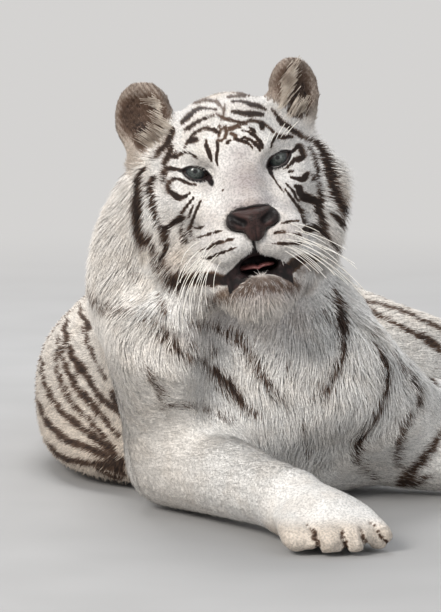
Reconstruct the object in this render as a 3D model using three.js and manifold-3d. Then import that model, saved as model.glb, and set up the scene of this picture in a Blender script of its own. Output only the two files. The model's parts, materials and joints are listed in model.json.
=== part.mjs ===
// A life-size white tiger at rest: chest on the ground, one forearm laid in front and the other out to
// its left, hips rolled on to the right haunch with both hind legs to the left, head raised.
// Millimetres, +Z up. The animal looks along -Y. Its flesh, with the fur on it, is one smooth field of
// muscles. It is polygonised in pieces and parted by thin flat cuts, so that the outline runs on
// unbroken from node to node.
import * as THREE from "three";
import { mergeVertices } from "three/addons/utils/BufferGeometryUtils.js";
import Module from "manifold-3d";

const wasm = await Module();
wasm.setup();

// ---------------------------------------------------------------- driving dimensions
const CUT = 0.4; // the thin cut between two nodes
const EYES_AT = [-20, 0, 522]; // the point midway between the eyes
const HEAD_TURN = 6; // degrees, towards its left
const HEAD_LEAN = -9.2; // degrees, crown towards its right

const EYE_HALF = 60; // half the distance between the eyes' centres
const EYE_RADIUS = 20;
const EYE_SET_BACK = 7; // an eye's centre, behind the plane between the eyes
const LIDS = [27, 26, 14]; // the hollow between the lids

const MOUTH_HALF = 47;
const LIP_TOP = -126; // the middle of the upper lip
const MOUTH_GAPE = 17; // the opening at the middle
const MOUTH_DROP = 25; // how far the corners lie below the middle of the upper lip
const MOUTH_BACK = -46;
const JAW_BACK = -22;
const TONGUE_THICK = 7;

const EAR_HALF_WIDTH = 45;
const EAR_HALF_HEIGHT = 55;
const EARS = {
  left: { at: [107, 72, 81], turn: [-6, 15, 33] },
  right: { at: [-117, 72, 82], turn: [-6, 2, -20] },
};

const PAW_WIDTH = { fore: 160, hind: 134 };
const TOE_REACH = 76;

const KEEP = 0.12; // the share of the faces that is kept where the form is plain

const colours = { coat: 0xe9e4da, nose: 0x5a3a34, tongue: 0xa8605c, eye: 0x8fa6ae, ear: 0xcfc5b6 };

// ---------------------------------------------------------------- vectors and frames
const radians = THREE.MathUtils.degToRad;
const degrees = THREE.MathUtils.radToDeg;
const vec = (p) => new THREE.Vector3(...p);
const mix = (a, b, t) => a.map((v, i) => v + (b[i] - v) * t);
const turned = (turn) => new THREE.Matrix4().makeRotationFromEuler(new THREE.Euler(...turn.map(radians), "ZYX"));
const moved = (p) => new THREE.Matrix4().makeTranslation(...p);
const LEFT_AND_RIGHT = [1, -1];

const headFrame = moved(EYES_AT).multiply(turned([0, HEAD_LEAN, HEAD_TURN]));
const inHead = (matrix) => headFrame.clone().multiply(matrix);

// ---------------------------------------------------------------- fields
// A field is a function of a point that is negative inside, and about a distance near the surface.
const smoothMin = (a, b, k) => {
  const h = Math.max(k - Math.abs(a - b), 0) / k;
  return Math.min(a, b) - (h * h * k) / 4;
};

// An ellipsoid, turned by an optional [x, y, z] of degrees.
function ball(centre, radii, turn = [0, 0, 0]) {
  const [rx, ry, rz] = radii;
  const m = turned(turn).transpose().elements;
  return (x, y, z) => {
    const dx = x - centre[0];
    const dy = y - centre[1];
    const dz = z - centre[2];
    const px = (m[0] * dx + m[4] * dy + m[8] * dz) / rx;
    const py = (m[1] * dx + m[5] * dy + m[9] * dz) / ry;
    const pz = (m[2] * dx + m[6] * dy + m[10] * dz) / rz;
    const k0 = Math.hypot(px, py, pz);
    const k1 = Math.hypot(px / rx, py / ry, pz / rz);
    return k1 > 1e-9 ? (k0 * (k0 - 1)) / k1 : -Math.min(rx, ry, rz);
  };
}

// A round limb from a to b, whose radius runs from ra to rb.
function limb(a, b, ra, rb) {
  const d = b.map((v, i) => v - a[i]);
  const length2 = d.reduce((s, v) => s + v * v, 0);
  return (x, y, z) => {
    const px = x - a[0];
    const py = y - a[1];
    const pz = z - a[2];
    const t = THREE.MathUtils.clamp((px * d[0] + py * d[1] + pz * d[2]) / length2, 0, 1);
    return Math.hypot(px - d[0] * t, py - d[1] * t, pz - d[2] * t) - (ra + (rb - ra) * t);
  };
}

// A limb through several joints, each [point, radius].
const chain = (line) => line.slice(1).map(([b, rb], i) => limb(line[i][0], b, line[i][1], rb));

// Muscles joined with a fillet of about k.
const flesh = (k, parts) => (x, y, z) => {
  let f = parts[0](x, y, z);
  for (let i = 1; i < parts.length; i++) f = smoothMin(f, parts[i](x, y, z), k);
  return f;
};

// One field less another, with a rounded edge of about k.
const hollowed = (field, hollow, k) => (x, y, z) => -smoothMin(-field(x, y, z), hollow(x, y, z), k);

function placed(field, frame) {
  const e = frame.clone().invert().elements;
  return (x, y, z) =>
    field(
      e[0] * x + e[4] * y + e[8] * z + e[12],
      e[1] * x + e[5] * y + e[9] * z + e[13],
      e[2] * x + e[6] * y + e[10] * z + e[14],
    );
}

// ---------------------------------------------------------------- the head, in its own frame
// Its origin is midway between the eyes, -Y is forwards and +X is the animal's left.
const both = (make) => LEFT_AND_RIGHT.map(make);
const skull = flesh(20, [
  ball([0, 70, 18], [90, 102, 83]), // cranium
  ball([0, 12, 36], [62, 55, 55]), // forehead
  ...both((s) => ball([s * 76, 64, 22], [42, 56, 50])), // temples
  limb([0, 4, 4], [0, -92, -62], 41, 33), // bridge of the nose
  ...both((s) => ball([s * 46, -12, 31], [30, 20, 17], [0, 0, s * 12])), // brows
  ...both((s) => ball([s * 76, 12, -36], [36, 46, 40])), // cheekbones
  ...both((s) => ball([s * 50, -30, -52], [30, 42, 32])), // under the eyes
  ...both((s) => ball([s * 38, -84, -95], [42, 47, 38], [0, 0, s * 14])), // whisker pads
  ball([0, -88, -80], [33, 34, 34]), // top lip
  ball([0, -64, -171], [47, 46, 38]), // chin
  ...both((s) => limb([s * 28, -46, -164], [s * 62, 22, -138], 38, 42)), // lower jaw
  flesh(30, [
    ...both((s) => ball([s * 101, 50, -66], [60, 56, 92], [0, s * 8, s * -18])), // ruff
    ...both((s) => ball([s * 72, 40, -140], [58, 58, 58])),
    ball([0, 44, -140], [84, 78, 68]), // throat
  ]),
]);
const headField = placed(skull, headFrame);

// ---------------------------------------------------------------- the body
const joint = {
  shoulderRight: [-134, 60, 262],
  elbowRight: [-112, 150, 76],
  wristRight: [50, -124, 56],
  pawRight: [108, -206, 34],
  shoulderLeft: [126, 150, 214],
  elbowLeft: [252, 300, 80],
  wristLeft: [520, 178, 52],
  pawLeft: [618, 132, 34],
  hipRight: [-50, 1080, 108],
  kneeRight: [132, 775, 76],
  hockRight: [410, 872, 48],
  toesRight: [616, 800, 33],
  hipLeft: [-36, 1190, 168],
  kneeLeft: [278, 1000, 112],
  hockLeft: [506, 1186, 54],
  toesLeft: [700, 1096, 33],
};

const trunk = flesh(60, [
  ...chain([
    [[-26, 92, 488], 112],
    [[-50, 200, 424], 134],
    [[-62, 350, 312], 176],
  ]),
  ball([2, 236, 206], [168, 170, 200]), // chest
  ball([66, 330, 96], [182, 150, 112]), // breast, on the floor
  ball([-34, 440, 180], [208, 300, 206]), // ribs
  ball([-96, 560, 50], [236, 300, 88]), // where they settle on the floor
  ball([-88, 690, 124], [268, 300, 184]), // belly
  ball([-96, 940, 128], [240, 290, 170]), // loin
  ball([-98, 1190, 140], [206, 226, 178]), // rump
  ball([-148, 205, 346], [104, 150, 146], [0, 12, 0]), // right shoulder blade
  ball([88, 262, 240], [100, 150, 124], [0, -22, 0]), // left shoulder blade
]);
const forelegs = {
  right: [
    limb(joint.shoulderRight, joint.elbowRight, 84, 66),
    ball([-120, 152, 130], [48, 78, 92]), // triceps
    limb(joint.elbowRight, joint.wristRight, 77, 49),
  ],
  left: [
    limb(joint.shoulderLeft, joint.elbowLeft, 96, 76),
    limb(joint.elbowLeft, joint.wristLeft, 75, 49),
  ],
};
const hindlegs = {
  right: [limb(joint.hipRight, joint.kneeRight, 128, 78), limb(joint.kneeRight, joint.hockRight, 72, 43)],
  left: [
    limb(joint.hipLeft, joint.kneeLeft, 140, 90),
    ball([110, 1130, 112], [150, 110, 112], [0, 10, -28]), // haunch
    limb(joint.kneeLeft, joint.hockLeft, 80, 45),
  ],
};

// A broad paw with its middle at p: four toes in a fan, pointing at heading degrees from +X.
function paw(wrist, p, width, heading) {
  const along = [Math.cos(radians(heading)), Math.sin(radians(heading))];
  const across = [-along[1], along[0]];
  const at = (f, s, z) => [p[0] + along[0] * f + across[0] * s, p[1] + along[1] * f + across[1] * s, z];
  const toeRadius = width * 0.168;
  const toes = [-1.5, -0.5, 0.5, 1.5].map((n) => {
    const reach = TOE_REACH * (Math.abs(n) < 1 ? 1 : 0.72);
    const side = n * width * 0.236;
    return limb(at(0, side * 0.86, 34), at(reach, side * 1.06, 23), toeRadius, toeRadius * 0.84);
  });
  const palm = ball(at(-18, 0, 37), [width * 0.46, width * 0.45, 39], [0, 0, heading]);
  return flesh(8, [flesh(24, [palm, limb(wrist, at(-8, 0, 41), 48, 40)]), ...toes]);
}
const heading = (a, b) => degrees(Math.atan2(b[1] - a[1], b[0] - a[0]));
const limbs = [
  [forelegs.right, paw(joint.wristRight, joint.pawRight, PAW_WIDTH.fore, -76)],
  [forelegs.left, paw(joint.wristLeft, joint.pawLeft, PAW_WIDTH.fore, heading(joint.wristLeft, joint.pawLeft))],
  [hindlegs.right, paw(joint.hockRight, joint.toesRight, PAW_WIDTH.hind, heading(joint.hockRight, joint.toesRight))],
  [hindlegs.left, paw(joint.hockLeft, joint.toesLeft, PAW_WIDTH.hind, heading(joint.hockLeft, joint.toesLeft))],
].map(([leg, foot]) => flesh(22, [flesh(34, leg), foot]));
const tail = flesh(
  14,
  chain([
    [[-104, 1350, 142], 56],
    [[-78, 1486, 66], 40],
    [[30, 1590, 34], 37],
    [[196, 1628, 30], 34],
    [[366, 1598, 29], 33],
    [[512, 1506, 27], 31],
    [[612, 1376, 23], 26],
  ]),
);
const apart = (x, y, z) => Math.min(...limbs.map((f) => f(x, y, z)), tail(x, y, z));
const whole = (x, y, z) => smoothMin(smoothMin(trunk(x, y, z), apart(x, y, z), 30), headField(x, y, z), 42);

// ---------------------------------------------------------------- fields to solids
// Surface nets: one corner in each grid cell that the surface crosses, moved on to the surface.
function netOf(field, low, high, cell) {
  const n = low.map((v, i) => Math.ceil((high[i] - v) / cell) + 1);
  const at = (i, k, m) => (m * n[1] + k) * n[0] + i;
  const values = new Float64Array(n[0] * n[1] * n[2]).fill(cell);
  const block = 4;
  for (let m0 = 1; m0 < n[2] - 1; m0 += block)
    for (let k0 = 1; k0 < n[1] - 1; k0 += block)
      for (let i0 = 1; i0 < n[0] - 1; i0 += block) {
        const middle = [i0, k0, m0].map((v, d) => low[d] + (v + (block - 1) / 2) * cell);
        const f0 = field(...middle);
        const far = Math.abs(f0) > block * cell * 1.5;
        for (let m = m0; m < Math.min(m0 + block, n[2] - 1); m++)
          for (let k = k0; k < Math.min(k0 + block, n[1] - 1); k++)
            for (let i = i0; i < Math.min(i0 + block, n[0] - 1); i++)
              values[at(i, k, m)] = far ? f0 : field(low[0] + i * cell, low[1] + k * cell, low[2] + m * cell);
      }

  const step = [[1, 0, 0], [0, 1, 0], [0, 0, 1]];
  fillDiagonals(values, n, step.map((s) => at(...s)), cell);

  const corners = [];
  const cornerOf = new Map();
  const edges = [];
  for (let c = 0; c < 8; c++) for (let a = 0; a < 3; a++) if (!((c >> a) & 1)) edges.push([c, c | (1 << a)]);
  for (let m = 0; m < n[2] - 1; m++)
    for (let k = 0; k < n[1] - 1; k++)
      for (let i = 0; i < n[0] - 1; i++) {
        const v = [];
        for (let c = 0; c < 8; c++) v.push(values[at(i + (c & 1), k + ((c >> 1) & 1), m + (c >> 2))]);
        if (v.every((f) => f < 0) || v.every((f) => f >= 0)) continue;
        const sum = [0, 0, 0];
        let count = 0;
        for (const [a, b] of edges) {
          if (v[a] < 0 === v[b] < 0) continue;
          const t = v[a] / (v[a] - v[b]);
          for (let d = 0; d < 3; d++) sum[d] += ((a >> d) & 1) * (1 - t) + ((b >> d) & 1) * t;
          count += 1;
        }
        cornerOf.set(at(i, k, m), corners.length);
        corners.push(onSurface(field, sum.map((s, d) => low[d] + ([i, k, m][d] + s / count) * cell), cell * 0.8));
      }

  const faces = [];
  for (let m = 0; m < n[2] - 1; m++)
    for (let k = 0; k < n[1] - 1; k++)
      for (let i = 0; i < n[0] - 1; i++)
        for (let a = 0; a < 3; a++) {
          const here = values[at(i, k, m)] < 0;
          if (here === values[at(i + step[a][0], k + step[a][1], m + step[a][2])] < 0) continue;
          const u = step[(a + 1) % 3];
          const w = step[(a + 2) % 3];
          const ring = [[0, 0], [1, 0], [1, 1], [0, 1]].map(([s, t]) =>
            cornerOf.get(at(i - s * u[0] - t * w[0], k - s * u[1] - t * w[1], m - s * u[2] - t * w[2])),
          );
          if (!here) ring.reverse();
          const [p, q, r, s] = ring;
          const across = (x, y) => vec(corners[x]).distanceToSquared(vec(corners[y]));
          if (across(p, r) < across(q, s)) faces.push([p, q, r], [p, r, s]);
          else faces.push([p, q, s], [q, r, s]);
        }
  return { corners, faces };
}

function slopeOf(field, p) {
  const h = 0.5;
  const f = field(...p);
  return [0, 1, 2].map((d) => (field(...p.map((v, i) => (i === d ? v + h : v))) - f) / h);
}

// Where only two opposite corners of a grid square are inside, the nearer of the others is taken in too,
// so that no two sheets of the net share an edge.
function fillDiagonals(values, n, strides, cell) {
  for (let changed = true; changed; ) {
    changed = false;
    for (let m = 0; m < n[2] - 1; m++)
      for (let k = 0; k < n[1] - 1; k++)
        for (let i = 0; i < n[0] - 1; i++)
          for (let a = 0; a < 3; a++) {
            const p = i * strides[0] + k * strides[1] + m * strides[2];
            const square = [p, p + strides[a], p + strides[(a + 1) % 3], p + strides[a] + strides[(a + 1) % 3]];
            const [v00, v10, v01, v11] = square.map((q) => values[q] < 0);
            if (v00 !== v11 || v10 !== v01 || v00 === v10) continue;
            const outside = square.filter((q) => values[q] >= 0);
            values[values[outside[0]] < values[outside[1]] ? outside[0] : outside[1]] = -0.05 * cell;
            changed = true;
          }
  }
}

// The nearest point of the surface, unless it is further than reach.
function onSurface(field, start, reach) {
  let p = start;
  for (let n = 0; n < 3; n++) {
    const f = field(...p);
    const g = slopeOf(field, p);
    const g2 = Math.max(g.reduce((s, v) => s + v * v, 0), 0.05);
    p = p.map((v, d) => v - (g[d] * f) / g2);
  }
  return vec(p).distanceTo(vec(start)) < reach ? p : start;
}

// Collapses the edges whose loss shows least, measured from the planes of the faces round them.
function simplified({ corners, faces }, keep) {
  const target = faces.length * keep;
  const sums = corners.map(() => new Float64Array(10));
  const around = corners.map(() => new Set());
  const normalOf = ([a, b, c]) => {
    const p = corners[a];
    const u = corners[b].map((v, i) => v - p[i]);
    const w = corners[c].map((v, i) => v - p[i]);
    return [u[1] * w[2] - u[2] * w[1], u[2] * w[0] - u[0] * w[2], u[0] * w[1] - u[1] * w[0]];
  };
  faces.forEach((face, f) => {
    const n = normalOf(face);
    const size = Math.hypot(...n) || 1e-9;
    const [a, b, c] = n.map((v) => v / size);
    const d = -(a * corners[face[0]][0] + b * corners[face[0]][1] + c * corners[face[0]][2]);
    const plane = [a * a, a * b, a * c, a * d, b * b, b * c, b * d, c * c, c * d, d * d];
    for (const v of face) {
      around[v].add(f);
      plane.forEach((value, i) => (sums[v][i] += value * size));
    }
  });
  const cost = (s, [x, y, z]) =>
    s[0] * x * x + s[4] * y * y + s[7] * z * z + s[9] +
    2 * (s[1] * x * y + s[2] * x * z + s[3] * x + s[5] * y * z + s[6] * y + s[8] * z);
  const nextTo = (v) => new Set([...around[v]].flatMap((f) => faces[f]).filter((u) => u !== v));
  const turnsOver = (v, other, p) => {
    const old = corners[v];
    for (const f of around[v]) {
      if (faces[f].includes(other)) continue;
      const before = normalOf(faces[f]);
      corners[v] = p;
      const after = normalOf(faces[f]);
      corners[v] = old;
      const dot = before.reduce((s, value, i) => s + value * after[i], 0);
      if (dot < 0.35 * Math.hypot(...before) * Math.hypot(...after) || Math.hypot(...after) < 1) return true;
    }
    return false;
  };
  let left = faces.length;
  while (left > target) {
    const edges = [];
    faces.forEach((face) => {
      if (!face) return;
      for (let i = 0; i < 3; i++) {
        const [a, b] = [face[i], face[(i + 1) % 3]];
        if (a > b) continue;
        const sum = sums[a].map((v, k) => v + sums[b][k]);
        const length2 = vec(corners[a]).distanceToSquared(vec(corners[b]));
        let best = null;
        for (const t of [0, 0.5, 1]) {
          const p = mix(corners[a], corners[b], t);
          const c = cost(sum, p) + 1e-6 * length2 * length2;
          if (!best || c < best.c) best = { a, b, p, c };
        }
        edges.push(best);
      }
    });
    edges.sort((e, f) => e.c - f.c);
    const touched = new Uint8Array(corners.length);
    let done = 0;
    for (const { a, b, p } of edges) {
      if (left <= target || done > edges.length * 0.08) break;
      if (touched[a] || touched[b]) continue;
      const ringA = nextTo(a);
      const ringB = nextTo(b);
      if ([...ringA].filter((v) => ringB.has(v)).length !== 2) continue;
      if (turnsOver(a, b, p) || turnsOver(b, a, p)) continue;
      for (const f of [...around[b]]) {
        if (faces[f].includes(a)) {
          for (const v of faces[f]) around[v].delete(f);
          faces[f] = null;
          left -= 1;
        } else {
          faces[f] = faces[f].map((v) => (v === b ? a : v));
          around[a].add(f);
        }
      }
      corners[a] = p;
      sums[a] = sums[a].map((v, k) => v + sums[b][k]);
      for (const v of [a, b, ...ringA, ...ringB]) touched[v] = 1;
      done += 1;
    }
    if (!done) break;
  }
  return { corners, faces: faces.filter(Boolean) };
}

const manifoldOf = (positions, index) =>
  new wasm.Manifold(
    new wasm.Mesh({ numProp: 3, vertProperties: new Float32Array(positions), triVerts: new Uint32Array(index) }),
  );

// Whether no two sheets of a net share an edge.
function isSimple(faces) {
  const seen = new Set();
  for (const face of faces) for (let i = 0; i < 3; i++) seen.add(face[i] + "," + face[(i + 1) % 3]);
  return seen.size === 3 * faces.length;
}

// A field as a light net. The grid is nudged until no cell is ambiguous.
function lightNet(field, [low, high], cell, keep = KEEP) {
  for (let nudge = 0; nudge < 12; nudge++) {
    const start = low.map((v, i) => v - cell * (2 + (0.13 + 0.11 * i) * nudge));
    const net = netOf(field, start, high.map((v) => v + 2 * cell), cell);
    if (!isSimple(net.faces)) continue;
    const { corners, faces } = simplified(net, keep);
    if (!isSimple(faces)) continue;
    return { field, faces, corners: corners.map((p) => onSurface(field, p, cell * 0.5)) };
  }
  throw new Error("no grid made a closed surface");
}

// A net as a solid, with its corners moved outwards by grow.
function solidOf({ field, corners, faces }, grow = 0) {
  const moved = corners.map((p) => {
    const g = slopeOf(field, p);
    const size = Math.hypot(...g) || 1;
    return p.map((v, i) => v + (g[i] / size) * grow);
  });
  return manifoldOf(moved.flat(), faces.flat());
}

// A three.js geometry as a solid, placed by a matrix.
function solidFrom(geometry, matrix = new THREE.Matrix4()) {
  const copy = geometry.clone().applyMatrix4(matrix);
  copy.deleteAttribute("normal");
  copy.deleteAttribute("uv");
  const merged = mergeVertices(copy, 1e-4);
  return manifoldOf(merged.attributes.position.array, merged.index.array);
}

// ---------------------------------------------------------------- cutting regions
const FAR = 3000;
// A region is a box placed by a matrix. grow makes it larger all round, for the thin cut.
// It ends at the height over, if it has one.
const region = (matrix, low, high, over = -FAR) => ({ matrix, low, high, over });
const WORLD = new THREE.Matrix4();
function boxSolid({ matrix, low, high, over }, grow = 0) {
  const size = high.map((v, i) => v - low[i] + 2 * grow);
  const solid = solidFrom(new THREE.BoxGeometry(...size), matrix.clone().multiply(moved(mix(low, high, 0.5))));
  return solid.trimByPlane([0, 0, 1], over - grow);
}
function cornersOf({ matrix, low, high }) {
  const box = new THREE.Box3(vec(low), vec(high)).applyMatrix4(matrix);
  return [box.min.toArray(), box.max.toArray()];
}

// A box along the bone from a to b, from share s0 to share s1 of it, with its half widths and heights.
function boneRegion(a, b, s0, s1, [w0, w1], [h0, h1]) {
  const bone = vec(b).sub(vec(a));
  const length = bone.length();
  const yAxis = bone.normalize();
  const xAxis = new THREE.Vector3().crossVectors(yAxis, new THREE.Vector3(0, 0, 1)).normalize();
  const zAxis = new THREE.Vector3().crossVectors(xAxis, yAxis);
  const matrix = new THREE.Matrix4().makeBasis(xAxis, yAxis, zAxis).setPosition(...a);
  return region(matrix, [-w0, length * s0, -h0], [w1, length * s1, h1]);
}

const ABOVE_FLOOR = region(WORLD, [-FAR, -FAR, 0], [FAR, FAR, FAR]);
const EXTENT = new THREE.Box3(vec([-420, -360, 0]), vec([860, 1740, 700]));

// The head's cut leans, from behind the ears down to the throat.
const NECK_CUT_LEAN = -20;
const THROAT_HEIGHT = 312;
const HEAD_CUT_HALF = 192;
const headRegion = region(
  inHead(turned([NECK_CUT_LEAN, 0, 0])),
  [-HEAD_CUT_HALF, -420, -420],
  [HEAD_CUT_HALF, 92, 420],
  THROAT_HEIGHT,
);

const J = joint;
const pieces = [
  // name, region, cell
  ["forepaw_right", boneRegion(J.wristRight, J.pawRight, 0.05, 3, [130, 130], [140, 140]), 8.5],
  ["foreleg_right_lower", boneRegion(J.elbowRight, J.wristRight, 0, 1.04, [70, 90], [120, 88]), 15],
  ["foreleg_right_upper", boneRegion(J.shoulderRight, J.elbowRight, -0.04, 1.5, [110, 72], [118, 72]), 17],
  ["forepaw_left", boneRegion(J.wristLeft, J.pawLeft, 0.05, 3, [130, 130], [140, 140]), 11],
  ["foreleg_left_lower", boneRegion(J.elbowLeft, J.wristLeft, 0.16, 1.04, [120, 120], [120, 120]), 20],
  ["foreleg_left_upper", boneRegion(J.shoulderLeft, J.elbowLeft, 0.42, 1.7, [120, 120], [160, 140]), 22],
  ["hindpaw_right", boneRegion(J.hockRight, J.toesRight, 0.05, 3, [120, 120], [120, 120]), 12],
  ["shank_right", boneRegion(J.kneeRight, J.hockRight, 0.12, 1.25, [76, 98], [120, 120]), 20],
  ["thigh_right", boneRegion(J.hipRight, J.kneeRight, 0.5, 1.4, [120, 150], [140, 98]), 24],
  ["hindpaw_left", boneRegion(J.hockLeft, J.toesLeft, 0.05, 3, [120, 120], [120, 120]), 12],
  ["shank_left", boneRegion(J.kneeLeft, J.hockLeft, 0.16, 1.25, [100, 110], [120, 130]), 20],
  ["thigh_left", boneRegion(J.hipLeft, J.kneeLeft, 0.4, 1.5, [190, 190], [180, 150]), 26],
  ["tail_base", region(WORLD, [-220, 1396, 0], [0, 1508, 260]), 18],
  ["tail_middle", region(WORLD, [-220, 1508, 0], [300, 1740, 200]), 18],
  ["tail_tip", region(WORLD, [300, 1300, 0], [860, 1740, 200]), 18],
  ["neck", region(WORLD, [-FAR, -FAR, THROAT_HEIGHT], [FAR, 246, FAR]), 20],
  ["chest", region(WORLD, [-FAR, -FAR, -10], [FAR, 246, THROAT_HEIGHT]), 22],
  ["ribs", region(WORLD, [-FAR, 246, -10], [FAR, 560, FAR]), 28],
  ["belly", region(WORLD, [-FAR, 560, -10], [FAR, 890, FAR]), 34],
  ["hips", region(WORLD, [-FAR, 890, -10], [FAR, FAR, FAR]), 34],
];

const largest = (solid) => solid.decompose().reduce((a, b) => (a.volume() > b.volume() ? a : b));

// What is left of the body inside a region, less the regions that come before it.
function partOf(own, cell, before) {
  const [low, high] = cornersOf(own);
  const box = new THREE.Box3(vec(low), vec(high)).intersect(EXTENT);
  let solid = solidOf(lightNet(whole, [box.min.toArray(), box.max.toArray()], cell));
  solid = solid.intersect(boxSolid(own)).intersect(boxSolid(ABOVE_FLOOR));
  for (const other of before) solid = solid.subtract(boxSolid(other, CUT));
  return largest(solid);
}

const group = new THREE.Group();
const tint = (colour, roughness) => new THREE.MeshStandardMaterial({ color: colour, roughness, metalness: 0 });
const materials = {
  coat: tint(colours.coat, 0.85),
  ear: tint(colours.ear, 0.85),
  nose: tint(colours.nose, 0.45),
  tongue: tint(colours.tongue, 0.4),
  eye: tint(colours.eye, 0.1),
};
const SNAP = 0.02; // corners closer than this become one
function mergedIndex(positions) {
  const seen = new Map();
  return Array.from({ length: positions.length / 3 }, (_, i) => {
    const key = positions.slice(3 * i, 3 * i + 3).map((v) => Math.round(v / SNAP)).join();
    if (!seen.has(key)) seen.set(key, i);
    return seen.get(key);
  });
}
function add(name, solid, material = materials.coat) {
  const made = solid.getMesh();
  const snapped = Array.from(made.vertProperties, (v) => Math.round(v / SNAP) * SNAP);
  const geometry = new THREE.BufferGeometry();
  geometry.setAttribute("position", new THREE.Float32BufferAttribute(snapped, 3));
  const newIndex = mergedIndex(snapped);
  const triangles = [];
  for (let i = 0; i < made.triVerts.length; i += 3) {
    const face = [...made.triVerts.slice(i, i + 3)].map((v) => newIndex[v]);
    if (new Set(face).size === 3) triangles.push(...face);
  }
  geometry.setIndex(triangles);
  geometry.computeVertexNormals();
  const mesh = new THREE.Mesh(geometry, material);
  mesh.name = name;
  group.add(mesh);
}

// ---------------------------------------------------------------- head pieces
const noseShape = flesh(7, [
  ball([0, -116, -66], [31, 20, 14], [14, 0, 0]),
  ...both((s) => ball([s * 23, -110, -68], [15, 20, 14], [10, s * -14, s * 20])),
  ball([0, -121, -85], [14, 14, 16]),
]);
const nostrils = flesh(3, both((s) => limb([s * 15, -138, -76], [s * 30, -130, -71], 5, 3.5)));
const noseBox = cornersOf(region(headFrame, [-44, -142, -106], [44, -84, -44]));
const noseNet = lightNet(placed(hollowed(noseShape, nostrils, 3), headFrame), noseBox, 5, 0.28);

// The mouth is an arch between the lips. Arches are drawn in X and Z and pushed back along +Y.
function arch(top, half, drop, steps = 8) {
  return Array.from({ length: steps + 1 }, (_, i) => {
    const x = -half + (2 * half * i) / steps;
    return new THREE.Vector2(x, top - drop * (x / MOUTH_HALF) ** 2);
  });
}
function pushed(points, front, back) {
  const depth = back - front;
  const geometry = new THREE.ExtrudeGeometry(new THREE.Shape(points), { depth, bevelEnabled: false, steps: 1 });
  const upright = new THREE.Matrix4().set(1, 0, 0, 0, 0, 0, -1, back, 0, 1, 0, 0, 0, 0, 0, 1);
  return solidFrom(geometry, inHead(upright));
}
const LOWER_LIP = LIP_TOP - MOUTH_GAPE;
const lowerArch = (rise, half = MOUTH_HALF) => arch(LOWER_LIP + rise, half, MOUTH_DROP - MOUTH_GAPE);
const mouthHole = pushed(
  [...arch(LIP_TOP, MOUTH_HALF, MOUTH_DROP), ...lowerArch(0).reverse().slice(1, -1)].reverse(),
  -200,
  MOUTH_BACK,
);
const JAW_LOW = -320;
const jawBlock = (grow) =>
  pushed(
    [
      new THREE.Vector2(-MOUTH_HALF - grow, JAW_LOW),
      new THREE.Vector2(MOUTH_HALF + grow, JAW_LOW),
      ...lowerArch(grow, MOUTH_HALF + grow).reverse(),
    ],
    -200,
    JAW_BACK + grow,
  );

// A solid ball in the head's frame.
const headBall = (at, radii, turn = [0, 0, 0], round = 14) =>
  solidFrom(
    new THREE.SphereGeometry(1, round, Math.round(round * 0.6)),
    inHead(moved(at)).multiply(turned(turn)).multiply(new THREE.Matrix4().makeScale(...radii)),
  );
const eyeAt = (s) => [s * EYE_HALF, EYE_SET_BACK, 0];
const eyeSolid = (s, grow) => headBall(eyeAt(s), [1, 1, 1].map(() => EYE_RADIUS + grow));
const lidHollow = (s) => headBall([s * (EYE_HALF + 1), -30, -1], LIDS, [0, s * 6, s * 16], 12);
const tongueSolid = pushed(
  [...lowerArch(TONGUE_THICK, 32).reverse(), ...lowerArch(CUT + 0.2, 32)],
  -100,
  MOUTH_BACK - 1,
).intersect(headBall([0, -48, LOWER_LIP], [31, 36, 30]));

// An ear: a rounded cup that opens forwards and outwards, on a broad base.
function earSolid({ at, turn }, side) {
  const frame = inHead(moved(at)).multiply(turned(turn));
  const shape = flesh(8, [
    ball([0, 3, 2], [EAR_HALF_WIDTH, 27, EAR_HALF_HEIGHT]),
    limb([side * -6, 14, -58], [side * -3, 6, -14], 38, 33),
  ]);
  const cup = ball([side * 2, -30, 5], [EAR_HALF_WIDTH - 9, 36, EAR_HALF_HEIGHT - 12]);
  const earBox = cornersOf(region(frame, [-55, -45, -95], [55, 60, 62]));
  return solidOf(lightNet(placed(hollowed(shape, cup, 8), frame), earBox, 7.5, 0.2));
}

const headBox = cornersOf(region(headFrame, [-180, -160, -228], [180, 190, 125]));
const faceRegion = region(headFrame, [-300, -300, -260], [300, -30, 300]);
{
  const holes = [solidOf(noseNet, CUT + 0.2), mouthHole];
  for (const s of LEFT_AND_RIGHT) holes.push(eyeSolid(s, CUT), lidHollow(s));
  const carved = (solid) => largest(holes.reduce((left, hole) => left.subtract(hole), solid));
  const fine = solidOf(lightNet(whole, headBox, 9, 0.1)).intersect(boxSolid(headRegion));
  const plainNet = lightNet(whole, headBox, 14, 0.085);
  const plain = solidOf(plainNet).intersect(boxSolid(headRegion));
  add("head", carved(plain.subtract(boxSolid(faceRegion, CUT)).subtract(jawBlock(CUT))));
  add("muzzle", carved(fine.intersect(boxSolid(faceRegion)).subtract(jawBlock(CUT))));
  add("jaw", carved(fine.intersect(jawBlock(0))));
  add("nose", solidOf(noseNet), materials.nose);
  add("tongue", tongueSolid, materials.tongue);
  const headAndGap = solidOf(plainNet, CUT + 0.4);
  for (const [side, s] of [["left", 1], ["right", -1]]) {
    add("eye_" + side, eyeSolid(s, 0), materials.eye);
    const ear = earSolid(EARS[side], s).subtract(headAndGap).intersect(boxSolid(headRegion));
    add("ear_" + side, largest(ear), materials.ear);
  }
}

// ---------------------------------------------------------------- body pieces
const before = [headRegion];
for (const [name, own, cell] of pieces) {
  add(name, partOf(own, cell, before));
  before.push(own);
}

// ---------------------------------------------------------------- the part's own frame
// The origin is on the floor, under the middle of the bounding box.
const box = new THREE.Box3().setFromObject(group);
const onGrid = (v) => Math.round(v / SNAP) * SNAP;
group.position.set(onGrid(-(box.min.x + box.max.x) / 2), onGrid(-(box.min.y + box.max.y) / 2), -box.min.z);

export default group;
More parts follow.
